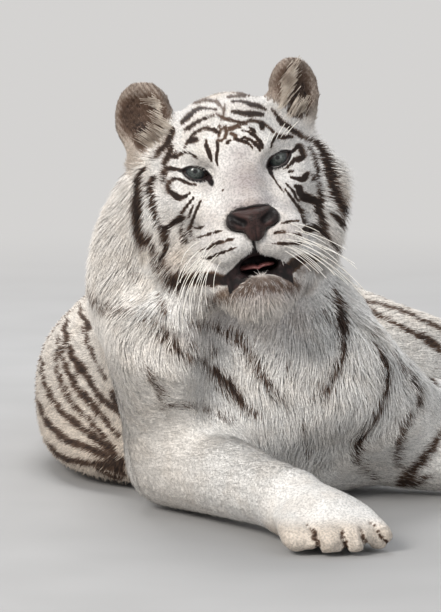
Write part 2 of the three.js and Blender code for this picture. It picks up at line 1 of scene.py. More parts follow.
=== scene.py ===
# %% [markdown]
# # A white tiger at rest
# The solids give the animal's true size and pose. This script dresses them: one smooth skin is
# drawn over the solids of flesh, the face is worked into it, and a coat of many small solid tufts
# is laid over the skin. Eyes, nose, tongue and whiskers are pieces of their own.
# The frame is loaded first, so that every later step can ask it where things are.

# %% Load the frame
import json
import math
import bpy
import numpy as np
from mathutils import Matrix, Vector
from mathutils.bvhtree import BVHTree

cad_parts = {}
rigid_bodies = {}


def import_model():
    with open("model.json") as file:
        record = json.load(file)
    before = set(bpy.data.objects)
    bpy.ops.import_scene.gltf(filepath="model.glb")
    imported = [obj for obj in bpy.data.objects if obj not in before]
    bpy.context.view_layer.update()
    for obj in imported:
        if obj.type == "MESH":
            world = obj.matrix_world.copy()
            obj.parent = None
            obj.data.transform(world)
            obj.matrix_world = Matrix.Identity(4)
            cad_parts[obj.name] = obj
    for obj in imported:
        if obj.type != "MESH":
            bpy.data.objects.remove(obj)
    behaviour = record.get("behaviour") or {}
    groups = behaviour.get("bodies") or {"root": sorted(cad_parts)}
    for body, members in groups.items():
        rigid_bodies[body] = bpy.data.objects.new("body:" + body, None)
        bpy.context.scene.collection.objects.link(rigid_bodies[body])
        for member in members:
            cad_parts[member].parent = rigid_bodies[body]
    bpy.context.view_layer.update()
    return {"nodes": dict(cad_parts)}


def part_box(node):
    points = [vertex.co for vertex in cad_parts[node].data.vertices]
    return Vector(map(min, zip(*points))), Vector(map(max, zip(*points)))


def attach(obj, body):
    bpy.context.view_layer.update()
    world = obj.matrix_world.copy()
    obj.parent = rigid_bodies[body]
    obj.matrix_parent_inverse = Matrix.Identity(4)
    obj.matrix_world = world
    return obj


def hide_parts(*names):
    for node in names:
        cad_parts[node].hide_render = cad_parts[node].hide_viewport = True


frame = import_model()
MM = 0.001


# %% [markdown]
# ## The head's own axes
# Most of the work on a face is easier in the head's own millimetres: x towards the animal's
# left, y back, z up, with the origin between the eyes. The eyeballs' places give that frame, so
# it follows the solids wherever the head is turned.

# %% Head axes from the eyeballs
def middle(name):
    low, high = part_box(name)
    return (np.array(low) + np.array(high)) / 2


EYES = {-1: middle("eye_right"), 1: middle("eye_left")}
EYE_RADIUS = (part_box("eye_left")[1][1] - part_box("eye_left")[0][1]) / 2 / MM
EYE_DEPTH = 7.0
HEAD_X = (EYES[1] - EYES[-1]) / np.linalg.norm(EYES[1] - EYES[-1])
HEAD_Y = np.cross([0.0, 0.0, 1.0], HEAD_X)
HEAD_Y /= np.linalg.norm(HEAD_Y)
HEAD_Z = np.cross(HEAD_X, HEAD_Y)
HEAD = np.array([HEAD_X, HEAD_Y, HEAD_Z])
HEAD_AT = (EYES[1] + EYES[-1]) / 2 - EYE_DEPTH * MM * HEAD_Y
EYE_HALF = float(np.linalg.norm(EYES[1] - EYES[-1]) / 2 / MM)
print("head at", HEAD_AT.round(4), "half distance of the eyes", round(EYE_HALF, 1), "mm")


def to_head(points):
    return (points - HEAD_AT) @ HEAD.T / MM


def from_head(points):
    return np.asarray(points, float) * MM @ HEAD + HEAD_AT


def unit(vectors):
    return vectors / np.maximum(np.linalg.norm(vectors, axis=-1, keepdims=True), 1e-12)


def step(value, start, end):
    """0 before start, 1 after end, and a smooth rise between them."""
    t = np.clip((value - start) / (end - start), 0, 1)
    return t * t * (3 - 2 * t)


# %% [markdown]
# ## The camera
# The camera stands far in front, half a metre higher than the eyes, and looks slightly down
# through a long lens, so its perspective is shallow. It comes first, because every look at the
# work depends on it.

# %% Camera
CAMERA_FROM_EYES = (0.020, -6.5, 0.508)
CAMERA_PITCH = 6.25  # degrees downwards
CAMERA_YAW = 0.376  # degrees to the left
LENS = 266.5
SENSOR = 36


def placed(name, data):
    """A new object in the scene, at the origin."""
    thing = bpy.data.objects.new(name, data)
    bpy.context.scene.collection.objects.link(thing)
    return thing


def make_camera():
    data = bpy.data.cameras.new("camera")
    data.lens = LENS
    data.sensor_width = SENSOR
    data.clip_end = 100
    camera = placed("camera", data)
    eyes = (EYES[1] + EYES[-1]) / 2
    camera.location = Vector(eyes) + Vector(CAMERA_FROM_EYES)
    camera.rotation_euler = (math.radians(90 - CAMERA_PITCH), 0, math.radians(CAMERA_YAW))
    bpy.context.scene.camera = camera
    return camera


camera = make_camera()
VIEWPOINT = np.array(camera.location)
print("camera at", [round(c, 3) for c in camera.location])


# %% [markdown]
# ## Reading the solids
# A solid's mesh comes as loose triangles. A copy of its corners is rounded and merged, and the
# solid itself stays as packed. The other helpers here make a mesh from arrays of points and
# faces, and turn a mesh into arrays, because most of the shaping is done on arrays.

# %% Mesh helpers
FLESH = sorted(n for n in frame["nodes"] if n.split("_")[0] not in ("eye", "nose", "tongue"))


def arrays_of(mesh):
    mesh.calc_loop_triangles()
    points = np.zeros(len(mesh.vertices) * 3)
    mesh.vertices.foreach_get("co", points)
    faces = np.zeros(len(mesh.loop_triangles) * 3, np.int32)
    mesh.loop_triangles.foreach_get("vertices", faces)
    return points.reshape(-1, 3), faces.reshape(-1, 3)


def node_mesh(name):
    points, faces = arrays_of(frame["nodes"][name].data)
    merged, place = np.unique(points.round(5), axis=0, return_inverse=True)
    faces = place.reshape(-1)[faces]
    alive = (faces[:, 0] != faces[:, 1]) & (faces[:, 1] != faces[:, 2])
    alive &= faces[:, 0] != faces[:, 2]
    return merged, faces[alive]


def vertex_normals(points, faces):
    corners = points[faces]
    across = np.cross(corners[:, 1] - corners[:, 0], corners[:, 2] - corners[:, 0])
    total = np.zeros_like(points)
    for axis in range(3):
        for corner in range(3):
            total[:, axis] += np.bincount(faces[:, corner], across[:, axis], len(points))
    return unit(total)


def joined(meshes):
    points, faces, start = [], [], 0
    for p, f in meshes:
        points.append(p)
        faces.append(f + start)
        start += len(p)
    return np.vstack(points), np.vstack(faces)


def new_object(name, points, faces):
    mesh = bpy.data.meshes.new(name)
    mesh.vertices.add(len(points))
    mesh.vertices.foreach_set("co", np.ascontiguousarray(points, np.float32).ravel())
    sides = faces.shape[1]
    mesh.loops.add(len(faces) * sides)
    mesh.loops.foreach_set("vertex_index", np.ascontiguousarray(faces, np.int32).ravel())
    mesh.polygons.add(len(faces))
    mesh.polygons.foreach_set("loop_start", np.arange(len(faces), dtype=np.int32) * sides)
    mesh.update(calc_edges=True)
    return placed(name, mesh)


def give(piece, name, values):
    attribute = piece.data.attributes.new(name, "FLOAT", "POINT")
    attribute.data.foreach_set("value", np.ascontiguousarray(values, np.float32))


def applied(draft):
    """The plain mesh that a draft's modifiers make; the draft itself is removed."""
    depsgraph = bpy.context.evaluated_depsgraph_get()
    made = bpy.data.meshes.new_from_object(draft.evaluated_get(depsgraph))
    mesh = draft.data
    bpy.data.objects.remove(draft)
    bpy.data.meshes.remove(mesh)
    return made


def applied_arrays(draft):
    made = applied(draft)
    points, faces = arrays_of(made)
    bpy.data.meshes.remove(made)
    return points, faces


def remeshed(points, faces, voxel):
    draft = new_object("draft", points, faces)
    modifier = draft.modifiers.new("voxels", "REMESH")
    modifier.mode = "VOXEL"
    modifier.voxel_size = voxel
    return applied_arrays(draft)


print("nodes of flesh:", len(FLESH))


# %% [markdown]
# ## One skin
# The real animal has one unbroken skin. Copies of the flesh solids are swollen by half a
# millimetre so that the thin cuts between them close, and a voxel remesh melts them into one
# surface. The solids have flat facets, so the surface is then relaxed: each point moves towards
# the middle of its neighbours, many times on the trunk and few times on the face.

# %% Draw the skin over the flesh
VOXEL = 0.005
SWELL = 0.5
LID_THICKNESS = 2.6


def swollen(name, amount):
    points, faces = node_mesh(name)
    return points + amount * MM * vertex_normals(points, faces), faces


solids = [node_mesh(name) for name in FLESH]
flesh_points, flesh_faces = joined(solids)
face_owner = np.repeat(np.arange(len(FLESH)), [len(faces) for _, faces in solids])
flesh_tree = BVHTree.FromPolygons(flesh_points.tolist(), flesh_faces.tolist())
# The eyeballs go in too, grown by the lids' thickness, so that the sockets are filled.
filled = [swollen(name, SWELL) for name in FLESH]
filled += [swollen(name, LID_THICKNESS) for name in ("eye_left", "eye_right")]
skin, skin_faces = remeshed(*joined(filled), VOXEL)
print("skin after the remesh:", len(skin), "points,", len(skin_faces), "triangles")


# %% Neighbours and relaxing
def edges_of(faces):
    pairs = np.sort(faces[:, [0, 1, 1, 2, 2, 0]].reshape(-1, 2), axis=1)
    return np.unique(pairs, axis=0)


def relaxed(values, edges, rounds, strength=0.6):
    """Moves each value towards the mean of its neighbours, as often as rounds says."""
    count = len(values)
    a, b = edges.T
    degree = np.bincount(a, minlength=count) + np.bincount(b, minlength=count)
    values = values.reshape(count, -1).copy()
    rounds = np.broadcast_to(rounds, count)
    for turn in range(int(np.ceil(rounds.max()))):
        share = strength * np.clip(rounds - turn, 0, 1) / np.maximum(degree, 1)
        for axis in range(values.shape[1]):
            column = values[:, axis]
            near = np.bincount(a, column[b], count) + np.bincount(b, column[a], count)
            values[:, axis] = column + share * (near - degree * column)
    return values


def owners_of(points):
    return np.array([face_owner[flesh_tree.find_nearest(p)[2]] for p in points.tolist()])


ROUNDS = {"head": 14, "muzzle": 7, "jaw": 6, "ear": 5, "neck": 70, "chest": 100, "ribs": 120,
          "belly": 120, "hips": 120, "foreleg": 60, "thigh": 90, "shank": 40, "forepaw": 10,
          "hindpaw": 12, "tail": 40}
KINDS = [name.split("_")[0] for name in FLESH]
skin_edges = edges_of(skin_faces)
skin_owner = owners_of(skin)
skin_rounds = np.array([ROUNDS[kind] for kind in KINDS], float)[skin_owner]
skin_rounds = relaxed(skin_rounds, skin_edges, 12)[:, 0]
smooth = relaxed(skin, skin_edges, skin_rounds)
lost = ((skin - smooth) * vertex_normals(smooth, skin_faces)).sum(1)
lost = relaxed(lost, skin_edges, np.maximum(30, skin_rounds))[:, 0]
skin = smooth + lost[:, None] * vertex_normals(smooth, skin_faces)
print("relaxed; mean loss made good:", (lost.mean() / MM).round(2), "mm")


# %% [markdown]
# ## More points where the face needs them
# Lids, lips and folds are finer than the voxels. Each edge inside the face is halved, once for
# the whole head and once more round the eyes, nose and mouth, and the far body is thinned out,
# so that the points are where the detail is.

# %% Refine the head and thin the body
def refined(points, faces, wanted):
    """Halves the edges whose two ends are wanted; a face has 0, 1 or 3 such edges."""
    count = len(points)
    pairs = np.sort(faces[:, [0, 1, 1, 2, 2, 0]].reshape(-1, 2), axis=1).astype(np.int64)
    keys, place = np.unique(pairs[:, 0] * count + pairs[:, 1], return_inverse=True)
    a, b = keys // count, keys % count
    halved = wanted[a] & wanted[b]
    number = np.full(len(keys), -1)
    number[halved] = count + np.arange(halved.sum())
    added = (points[a] + points[b])[halved] / 2
    mids = number[place.reshape(-1)].reshape(-1, 3)
    some = (mids >= 0).sum(1)
    result = [faces[some == 0]]
    full, m = faces[some == 3], mids[some == 3]
    result.append(np.stack([full[:, 0], m[:, 0], m[:, 2]], 1))
    result.append(np.stack([m[:, 0], full[:, 1], m[:, 1]], 1))
    result.append(np.stack([m[:, 2], m[:, 1], full[:, 2]], 1))
    result.append(m)
    for side in range(3):
        rows = (some == 1) & (mids[:, side] >= 0)
        first, second, third = np.roll(faces[rows], -side, axis=1).T
        mid = mids[rows, side]
        result.append(np.stack([first, mid, third], 1))
        result.append(np.stack([mid, second, third], 1))
    return np.vstack([points, added]), np.vstack(result)


def thinned(points, faces, weight, share):
    draft = new_object("draft", points, faces)
    group = draft.vertex_groups.new(name="body")
    for level in range(1, 11):
        chosen = np.nonzero(np.round(weight * 10).astype(int) == level)[0]
        group.add(chosen.tolist(), level / 10, "REPLACE")
    modifier = draft.modifiers.new("thin", "DECIMATE")
    modifier.ratio = share
    modifier.vertex_group = "body"
    modifier.vertex_group_factor = 1000
    return applied_arrays(draft)


def near_face(points):
    """True on the front of the head, in the head's millimetres."""
    h = to_head(points)
    return (h[:, 1] < 20) & (np.abs(h[:, 0]) < 105) & (h[:, 2] > -185) & (h[:, 2] < 60)


def near_features(points):
    """True round the eyes and the mouth."""
    h = to_head(points)
    eyes = np.hypot(np.abs(h[:, 0]) - EYE_HALF, h[:, 2]) < 36
    mouth = (np.abs(h[:, 0]) < 66) & (h[:, 2] < -100) & (h[:, 2] > -178)
    return (eyes | mouth) & (h[:, 1] < 12)


skin, skin_faces = refined(skin, skin_faces, near_face(skin))


def far_share(points):
    """1 where the skin may be coarse: away from the head and from the toes."""
    far = step(np.linalg.norm(to_head(points) - [0, 60, -40], axis=1), 190, 240)
    for name in ("forepaw_right", "forepaw_left"):
        far *= step(np.linalg.norm(points - middle(name), axis=1), 0.13, 0.17)
    return far


SKIN_TRIANGLES = 142000
FAR_ROUNDS = 6
share = SKIN_TRIANGLES / len(skin_faces)
skin, skin_faces = thinned(skin, skin_faces, far_share(skin), share)
print("skin after thinning:", len(skin), "points,", len(skin_faces), "triangles")
skin = relaxed(skin, edges_of(skin_faces), FAR_ROUNDS * far_share(skin))
skin, skin_faces = refined(skin, skin_faces, near_features(skin))
skin_edges = edges_of(skin_faces)
skin_owner = owners_of(skin)
print("skin with the face refined:", len(skin_faces), "triangles")


# %% [markdown]
# ## How deep the coat is
# The solids reach to the tips of the coat, so the skin lies inside them by the coat's depth:
# a few millimetres on the face and feet, more on the body, most in the ruff at the cheeks.

# %% Coat depth and the skin's final level
DEPTH = {"head": 4, "muzzle": 3, "jaw": 6, "ear": 1.5, "neck": 11, "chest": 11, "ribs": 9,
         "belly": 10, "hips": 9, "foreleg": 5, "thigh": 8, "shank": 5, "forepaw": 2.5,
         "hindpaw": 2.5, "tail": 7}


def ruff_share(h):
    """1 in the long hair at the cheeks, 0 on the face."""
    side = step(np.abs(h[:, 0]), 92, 130)
    low = step(-h[:, 2], 30, 110) * step(np.abs(h[:, 0]), 70, 100)
    return np.maximum(side * step(-h[:, 2], -60, 10), low) * step(h[:, 1], -60, 10)


def by_kind(table, owner):
    return np.array([table[kind] for kind in KINDS], float)[owner]


def owned_by(owner, *names):
    return np.isin(owner, [FLESH.index(name) for name in names])


HEAD_NODES = ("head", "muzzle", "jaw")
RUFF_DEPTH = 12
depth = by_kind(DEPTH, skin_owner)
depth += RUFF_DEPTH * ruff_share(to_head(skin)) * owned_by(skin_owner, *HEAD_NODES)
depth = relaxed(depth, skin_edges, 10)[:, 0]
skin = skin - depth[:, None] * MM * vertex_normals(skin, skin_faces)
print("coat depth from", depth.min().round(1), "to", depth.max().round(1), "mm")


# %% [markdown]
# ## Eyes set in the skin
# A lid is a fold of skin that lies on the eyeball. The hollow in the solid is smoothed away, the
# skin is laid over a sphere a little larger than the eyeball, and inside the almond-shaped slit
# it drops behind the ball, so that the ball shows between the lids.

# %% Lids
SLIT_TURN = math.radians(21)
SLIT_HALF = 19.5
SLIT_UP = 8.6
SLIT_DOWN = 9.4
SLIT_POWER = 2.3
SLIT_OFF = 0.5  # how far outwards and down from the eye's middle the slit's middle lies


def slit(h, side):
    """Distance in mm outside the slit between the lids, negative inside, seen from ahead."""
    x = h[..., 0] * side - EYE_HALF - SLIT_OFF
    z = h[..., 2] + SLIT_OFF
    along = x * math.cos(SLIT_TURN) + z * math.sin(SLIT_TURN)
    up = z * math.cos(SLIT_TURN) - x * math.sin(SLIT_TURN)
    height = np.where(up > 0, SLIT_UP, SLIT_DOWN)
    edge = height * (1 - np.abs(along / SLIT_HALF) ** SLIT_POWER)
    over = np.abs(up) - edge
    return over / np.sqrt(1 + (2.0 * height / SLIT_HALF * np.abs(along / SLIT_HALF)) ** 2)


def ball_front(h, side, radius):
    """How far forward a ball of that radius about the eye's middle reaches at each point."""
    x, z = h[:, 0] - side * EYE_HALF, h[:, 2]
    inside = np.maximum(radius ** 2 - x ** 2 - z ** 2, 0)
    return EYE_DEPTH - np.sqrt(inside), x ** 2 + z ** 2 < radius ** 2


SOCKET_ROUNDS = 40
LID_SOFT = 5.0
BEHIND_BALL = 3.0
skin_h = to_head(skin)
front = skin_h[:, 1] < 60
for side in (-1, 1):
    away = np.hypot((skin_h[:, 0] - side * (EYE_HALF + 1)) / 1.25, skin_h[:, 2])
    skin_h = relaxed(skin_h, skin_edges, SOCKET_ROUNDS * (1 - step(away, 22, 34)) * front)
for side in (-1, 1):
    lid, on_ball = ball_front(skin_h, side, EYE_RADIUS + LID_THICKNESS)
    away = np.hypot(skin_h[:, 0] - side * EYE_HALF, skin_h[:, 2])
    gap = slit(skin_h, side)
    y = skin_h[:, 1]
    blend = np.clip(0.5 + (y - lid) / (2 * LID_SOFT), 0, 1)
    over = y + (lid - y) * blend - LID_SOFT * blend * (1 - blend)
    skin_h[:, 1] = np.where(front & on_ball, over, y)
    ball, on_ball = ball_front(skin_h, side, EYE_RADIUS)
    drop = (gap < 0) & (away < 32) & front
    skin_h[:, 1] = np.where(drop, np.where(on_ball, ball + BEHIND_BALL, EYE_DEPTH), skin_h[:, 1])
skin = from_head(skin_h)
print("lids laid on eyeballs of radius", round(EYE_RADIUS, 1), "mm")


# %% [markdown]
# ## Folds of the face
# Small forms that the solids leave out: the groove under the nose, the wings beside it, the
# bulging whisker pads, the ridge of the brows and the hollow in front of each eye. Each is a
# soft push on the skin round one place, so the face stays one smooth surface.

# %% Sculpt the face
def bump(h, centre, size):
    """1 at a place in the head's millimetres, falling softly to 0 over the given sizes."""
    offset = (h - np.array(centre, float)) / np.array(size, float)
    return np.exp(-(offset ** 2).sum(1))


FOLDS = [  # place, size, and the push in mm along x (outwards), y and z
    ((0, -118, -112), (5, 24, 20), (0, 9, 0)),
    ((30, -92, -60), (12, 22, 12), (-3, 3, 0)),
    ((58, -78, -112), (30, 34, 26), (5, -4, -1)),
    ((40, -14, 24), (20, 20, 9), (0, -5, 1)),
    ((36, -16, -6), (9, 20, 13), (-2, 5, 0)),
    ((70, -16, -26), (24, 24, 10), (0, -4, 0)),
    ((80, -10, -64), (26, 30, 26), (-2, 3, 0)),
    ((0, -30, 14), (22, 30, 18), (0, 3, 0)),
    ((0, -64, -176), (40, 30, 22), (0, -5, -3)),
]
skin_h = to_head(skin)
side_of = np.sign(skin_h[:, 0])
for (x, y, z), size, push in FOLDS:
    weight = bump(skin_h, (x, y, z), size)
    if x:
        weight += bump(skin_h, (-x, y, z), size)
    weight *= skin_h[:, 1] < 40
    near_eye = np.minimum(slit(skin_h, -1), slit(skin_h, 1)) < 3
    weight = np.where(near_eye & (skin_h[:, 1] < 20), weight * 0.2, weight)
    skin_h[:, 0] += weight * push[0] * side_of
    skin_h[:, 1] += weight * push[1]
    skin_h[:, 2] += weight * push[2]
skin = from_head(skin_h)
skin_normals = vertex_normals(skin, skin_faces)
print("folds worked into the face:", len(FOLDS))


# %% [markdown]
# ## Where the markings run
# A tiger's stripes are drawn here as named strokes: a few points along each, with its half
# width at each point. The face has its own chart, seen from straight ahead in millimetres
# between the eyes. The chest, shoulders and flanks have a chart in centimetres, also from ahead.
# Parts that neither chart reaches get rings round the body, legs and tail. Strokes with "shade" in their
# names are painted shade over hair that is partly dark too, beside the mouth, under the chin and jowl and
# along the ruff; they have wide soft edges, and "crest" marks the fine hair between the brows.

# %% Strokes of the face
FACE_STROKES = {
    "temple_high_r": [(-84, 66, 4), (-88, 58, 5), (-93, 50, 5), (-98, 45, 4), (-106, 40, 4), (-113, 34, 3),
      (-119, 30, 2)],
    "temple_low_r": [(-88, 43, 3), (-94, 33, 4), (-99, 25, 4), (-103, 20, 3)],
    "brow_bar_r": [(-92, 28, 2), (-84, 27, 3), (-76, 30, 2.2), (-68, 31, 1.8), (-62, 28, 1.8),
      (-57, 23, 1.6), (-54, 19, 1)],
    "brow_dot_r": [(-87, 32, 1.5), (-83, 34, 1.5)],
    "brow_arc_r": [(-70, 38, 1.5), (-66, 43, 2), (-61, 48, 2), (-55, 54, 2), (-48, 57, 2), (-40, 60, 2),
      (-33, 60, 2), (-27, 57, 2.5), (-22, 53, 3), (-18, 50, 3)],
    "brow_patch_r": [(-59, 46, 4), (-52, 46, 4)],
    "inner_tick_r": [(-37, 42, 1.2), (-38, 34, 3), (-36, 26, 3.5), (-35, 18, 3), (-34, 12, 1.5)],
    "inner_line_r": [(-22, 37, 2), (-22, 28, 2), (-25, 20, 2.2), (-27, 12, 2), (-26, 3, 1)],
    "bar_low_r": [(-66, 63, 2), (-60, 65, 3), (-52, 69, 3), (-44, 72, 2.5), (-36, 74, 2), (-28, 75, 1.5),
      (-20, 77, 1)],
    "bar_mid_r": [(-70, 73, 2), (-65, 77, 3.5), (-57, 82, 4), (-50, 87, 3), (-42, 90, 3), (-36, 90, 1.5),
      (-26, 87, 1.5), (-16, 84, 2)],
    "bar_top_r": [(-66, 99, 1.5), (-60, 101, 2), (-50, 101, 2.5), (-38, 100, 3), (-26, 100, 2),
      (-18, 97, 2)],
    # Painted shade over partly dark hair: beside the mouth, under the chin and at the jowl.
    "mouth_shade_r": [(-44, -158, 6), (-60, -156, 11), (-78, -152, 9), (-94, -150, 8), (-108, -146, 9)],
    "mouth_shade_l": [(52, -160, 8), (60, -154, 9), (74, -149, 7), (88, -152, 4)],
    "chin_shade": [(-66, -186, 9), (-46, -184, 13), (-24, -178, 14), (0, -174, 14), (28, -178, 14),
      (54, -184, 12)],
    "jowl_shade_l": [(66, -168, 8), (80, -163, 8), (92, -170, 7)],
    "ear_foot": [(88, 66, 5), (96, 60, 6), (102, 54, 3)],
    "crest_top": [(-15, 97, 3.5), (-11, 90, 3.5), (-7, 84, 2)],
    "crest_middle": [(-3, 90, 1.5), (-5, 80, 2.2), (-7, 73, 2.2), (-12, 66, 2)],
    "crest_lower": [(-15, 61, 2.4), (-13, 54, 2.6), (-18, 46, 2.2)],
    "crest_side": [(-17, 78, 2), (-10, 72, 3), (-2, 66, 3)],
    "crest_low": [(-8, 57, 3), (-6, 49, 3), (-10, 41, 2.5), (-16, 38, 2), (-21, 40, 2)],
    "crest_tip": [(-3, 36, 2), (-8, 34, 2)],
    "eye_line_r": [(-80, 8, 1.5), (-88, 10, 3), (-96, 12, 3.5), (-102, 11, 4), (-105, 6, 4),
      (-107, 0, 2.5), (-109, -8, 1.5)],
    "eye_loop_r": [(-62, -18, 1), (-70, -16, 1.8), (-76, -12, 2), (-82, -7, 2.2), (-88, -4, 2),
      (-95, -5, 2.5), (-100, -8, 3), (-102, -14, 3.5), (-101, -20, 3), (-98, -24, 3), (-94, -28, 4.5),
      (-89, -32, 4.5), (-83, -33, 3), (-77, -31, 2), (-72, -28, 1.2)],
    "cheek_a_r": [(-68, -36, 1.5), (-76, -43, 2), (-84, -50, 2), (-90, -56, 2), (-95, -60, 1)],
    "cheek_b_r": [(-69, -46, 1), (-74, -53, 2), (-80, -63, 1.2)],
    "cheek_c_r": [(-58, -42, 1.5), (-64, -51, 2), (-70, -60, 2), (-76, -70, 2), (-81, -77, 2.5),
      (-82, -88, 2), (-80, -95, 2)],
    "cheek_long_r": [(-117, 4, 2), (-122, 0, 4), (-126, -6, 4), (-127, -14, 4), (-127, -24, 4),
      (-127, -34, 3.5), (-126, -44, 3), (-125, -54, 3), (-122, -66, 3.5), (-119, -74, 4), (-118, -84, 5),
      (-118, -92, 4), (-119, -100, 3), (-124, -110, 3)],
    "cheek_bar_r": [(-87, -61, 3), (-96, -63, 4), (-104, -66, 4), (-110, -70, 4), (-115, -75, 4)],
    "cheek_down_r": [(-92, -66, 1.5), (-93, -80, 2), (-92, -92, 2), (-89, -97, 3)],
    "ruff_long_r": [(-128, 20, 2), (-134, 16, 4), (-140, 10, 4), (-143, 2, 6), (-145, -8, 8),
      (-147, -18, 9), (-148, -30, 8), (-149, -42, 7), (-150, -54, 6), (-150, -66, 6), (-150, -78, 7),
      (-147, -84, 8), (-140, -83, 5), (-136, -88, 3), (-136, -98, 2.5), (-135, -106, 3), (-131, -116, 4),
      (-128, -126, 5), (-124, -136, 5), (-120, -146, 5), (-114, -154, 5), (-107, -159, 4)],
    # Painted shade along the ruff's lower edges, where it meets the neck.
    "ruff_low_shade_r": [(-140, -166, 3), (-142, -178, 4), (-138, -190, 5), (-134, -200, 4)],
    "ruff_edge_shade_r": [(-181, -92, 2), (-177, -112, 4), (-173, -131, 5), (-168, -151, 5),
      (-164, -170, 4)],
    "bar_top_l": [(2, 100, 1.5), (12, 99, 2.5), (22, 98, 3), (32, 98, 2.5)],
    "bar_mid_l": [(8, 92, 2), (18, 91, 2), (28, 86, 3), (36, 82, 3.5), (44, 79, 3.5), (50, 75, 2.5),
      (54, 72, 1.5)],
    "bar_low_l": [(6, 77, 1.5), (14, 75, 3), (22, 72, 3.5), (30, 70, 4), (38, 68, 4), (46, 66, 3.5),
      (49, 66, 2)],
    "brow_line_l": [(0, 67, 2), (8, 63, 2), (16, 59, 2.5), (24, 58, 2.5), (30, 60, 2), (38, 58, 2),
      (44, 55, 3), (50, 50, 2), (56, 44, 2), (60, 38, 2), (64, 35, 1.5)],
    "brow_patch_l": [(45, 53, 4), (45, 47, 4)],
    "arc_outer_l": [(16, 48, 1.5), (24, 45, 2), (30, 40, 2.5), (35, 34, 2.5), (39, 28, 3), (41, 22, 3),
      (41, 17, 1.5)],
    "arc_middle_l": [(14, 38, 1), (20, 36, 1.5), (26, 32, 2), (32, 26, 3), (36, 20, 3), (37, 15, 1.5)],
    "arc_inner_l": [(6, 36, 2), (14, 33, 2), (20, 29, 2), (25, 24, 2), (27, 20, 1.2)],
    "arc_tick_l": [(28, 50, 2), (33, 44, 2.5), (35, 41, 1)],
    "crest_l": [(0, 54, 4), (8, 54, 4), (14, 53, 2)],
    "crest_low_l": [(0, 46, 3), (6, 42, 3), (4, 38, 3), (8, 36, 2)],
    "brow_bar_l": [(53, 16, 1), (55, 22, 1.5), (60, 29, 2.5), (66, 31, 3), (74, 29, 3), (80, 28, 3),
      (85, 27, 2)],
    "temple_l": [(62, 72, 1.5), (67, 64, 2), (70, 56, 3.5), (74, 49, 4), (80, 45, 3.5), (86, 38, 3.5),
      (92, 32, 3.5), (98, 26, 3), (104, 22, 2), (112, 17, 3), (118, 10, 4), (122, 2, 4), (124, -6, 5),
      (126, -16, 6), (128, -26, 7), (129, -36, 7), (129, -46, 7), (129, -56, 6), (131, -66, 6),
      (134, -76, 6), (136, -86, 5), (139, -96, 4), (142, -106, 3)],
    "eye_line_l": [(78, 7, 1.2), (86, 8, 2), (90, 12, 4), (93, 13, 4), (95, 8, 4), (96, 2, 3.5),
      (98, -3, 3)],
    "eye_under_l": [(66, -17, 1), (72, -15, 2), (78, -11, 2.5), (84, -6, 3.5), (90, -6, 4.5),
      (96, -6, 3.5), (99, -3, 2)],
    "cheek_dot_l": [(72, -22, 1), (79, -22, 2)],
    "cheek_patch_l": [(74, -30, 1), (82, -34, 2.5), (89, -36, 4), (94, -34, 5), (98, -29, 3)],
    "cheek_thin_l": [(104, -30, 1), (106, -34, 1.5), (104, -40, 2)],
    "cheek_long_l": [(104, 10, 1), (108, 4, 2), (110, -4, 2), (112, -14, 2), (112, -24, 2.5),
      (111, -34, 2), (111, -46, 2), (111, -58, 2.5), (111, -66, 3), (108, -74, 5), (106, -84, 5),
      (107, -94, 5), (106, -104, 4), (110, -112, 3)],
    "cheek_big_l": [(80, -44, 3), (84, -47, 5), (84, -54, 5), (88, -62, 6), (94, -64, 6), (100, -67, 5),
      (106, -72, 5)],
    "cheek_a_l": [(66, -38, 1), (72, -46, 1.5), (76, -53, 2), (77, -60, 2), (80, -66, 1.5)],
    "cheek_b_l": [(64, -46, 1), (67, -52, 1.5), (71, -60, 2), (75, -68, 2), (79, -76, 2.5), (82, -84, 2.5),
      (83, -92, 2), (84, -97, 3)],
    "tear_line_l": [(46, -16, 1.5), (49, -24, 1.5), (53, -34, 1), (57, -42, 1), (62, -50, 1)],
    "cheek_low_l": [(84, -108, 5), (92, -108, 6), (100, -110, 5), (106, -118, 4), (110, -125, 2)],
    "ruff_low_l": [(122, -91, 3), (128, -98, 4), (132, -106, 4), (134, -114, 3)],
    "ruff_thin_l": [(112, -130, 2), (118, -140, 2.5), (124, -150, 2)],
    "whiskers_1_r": [(-76, -78, 1.2), (-66, -80, 1.8), (-59, -79, 1.2)],
    "whiskers_2_r": [(-74, -93, 1), (-66, -93, 1.2), (-58, -92, 1.5), (-50, -91, 1.5), (-42, -90, 1.5),
      (-33, -90, 1.2)],
    "whiskers_3_r": [(-72, -112, 1), (-60, -111, 1.5), (-52, -109, 2.3), (-44, -106, 2.6),
      (-34, -105, 2.3), (-26, -104, 2), (-18, -104, 1.2)],
    "whiskers_4_r": [(-70, -124, 1.5), (-58, -125, 1.8), (-50, -123, 2), (-42, -121, 2), (-30, -119, 1.5),
      (-18, -117, 1.2)],
    "whiskers_2_l": [(52, -94, 1.2), (58, -93, 1.5), (66, -93, 2), (76, -94, 1.2)],
    "whiskers_3_l": [(38, -106, 1), (46, -105, 2), (54, -108, 2), (62, -110, 1.5), (68, -113, 2),
      (75, -115, 1.5)],
    "whiskers_4_l": [(34, -120, 1), (42, -121, 1.2), (52, -123, 2), (60, -124, 2), (70, -126, 1.5),
      (78, -126, 1)],
    "spot_r": [(-24, -32, 1.5), (-24, -33, 1.5)],
}
print("strokes of the face:", len(FACE_STROKES))


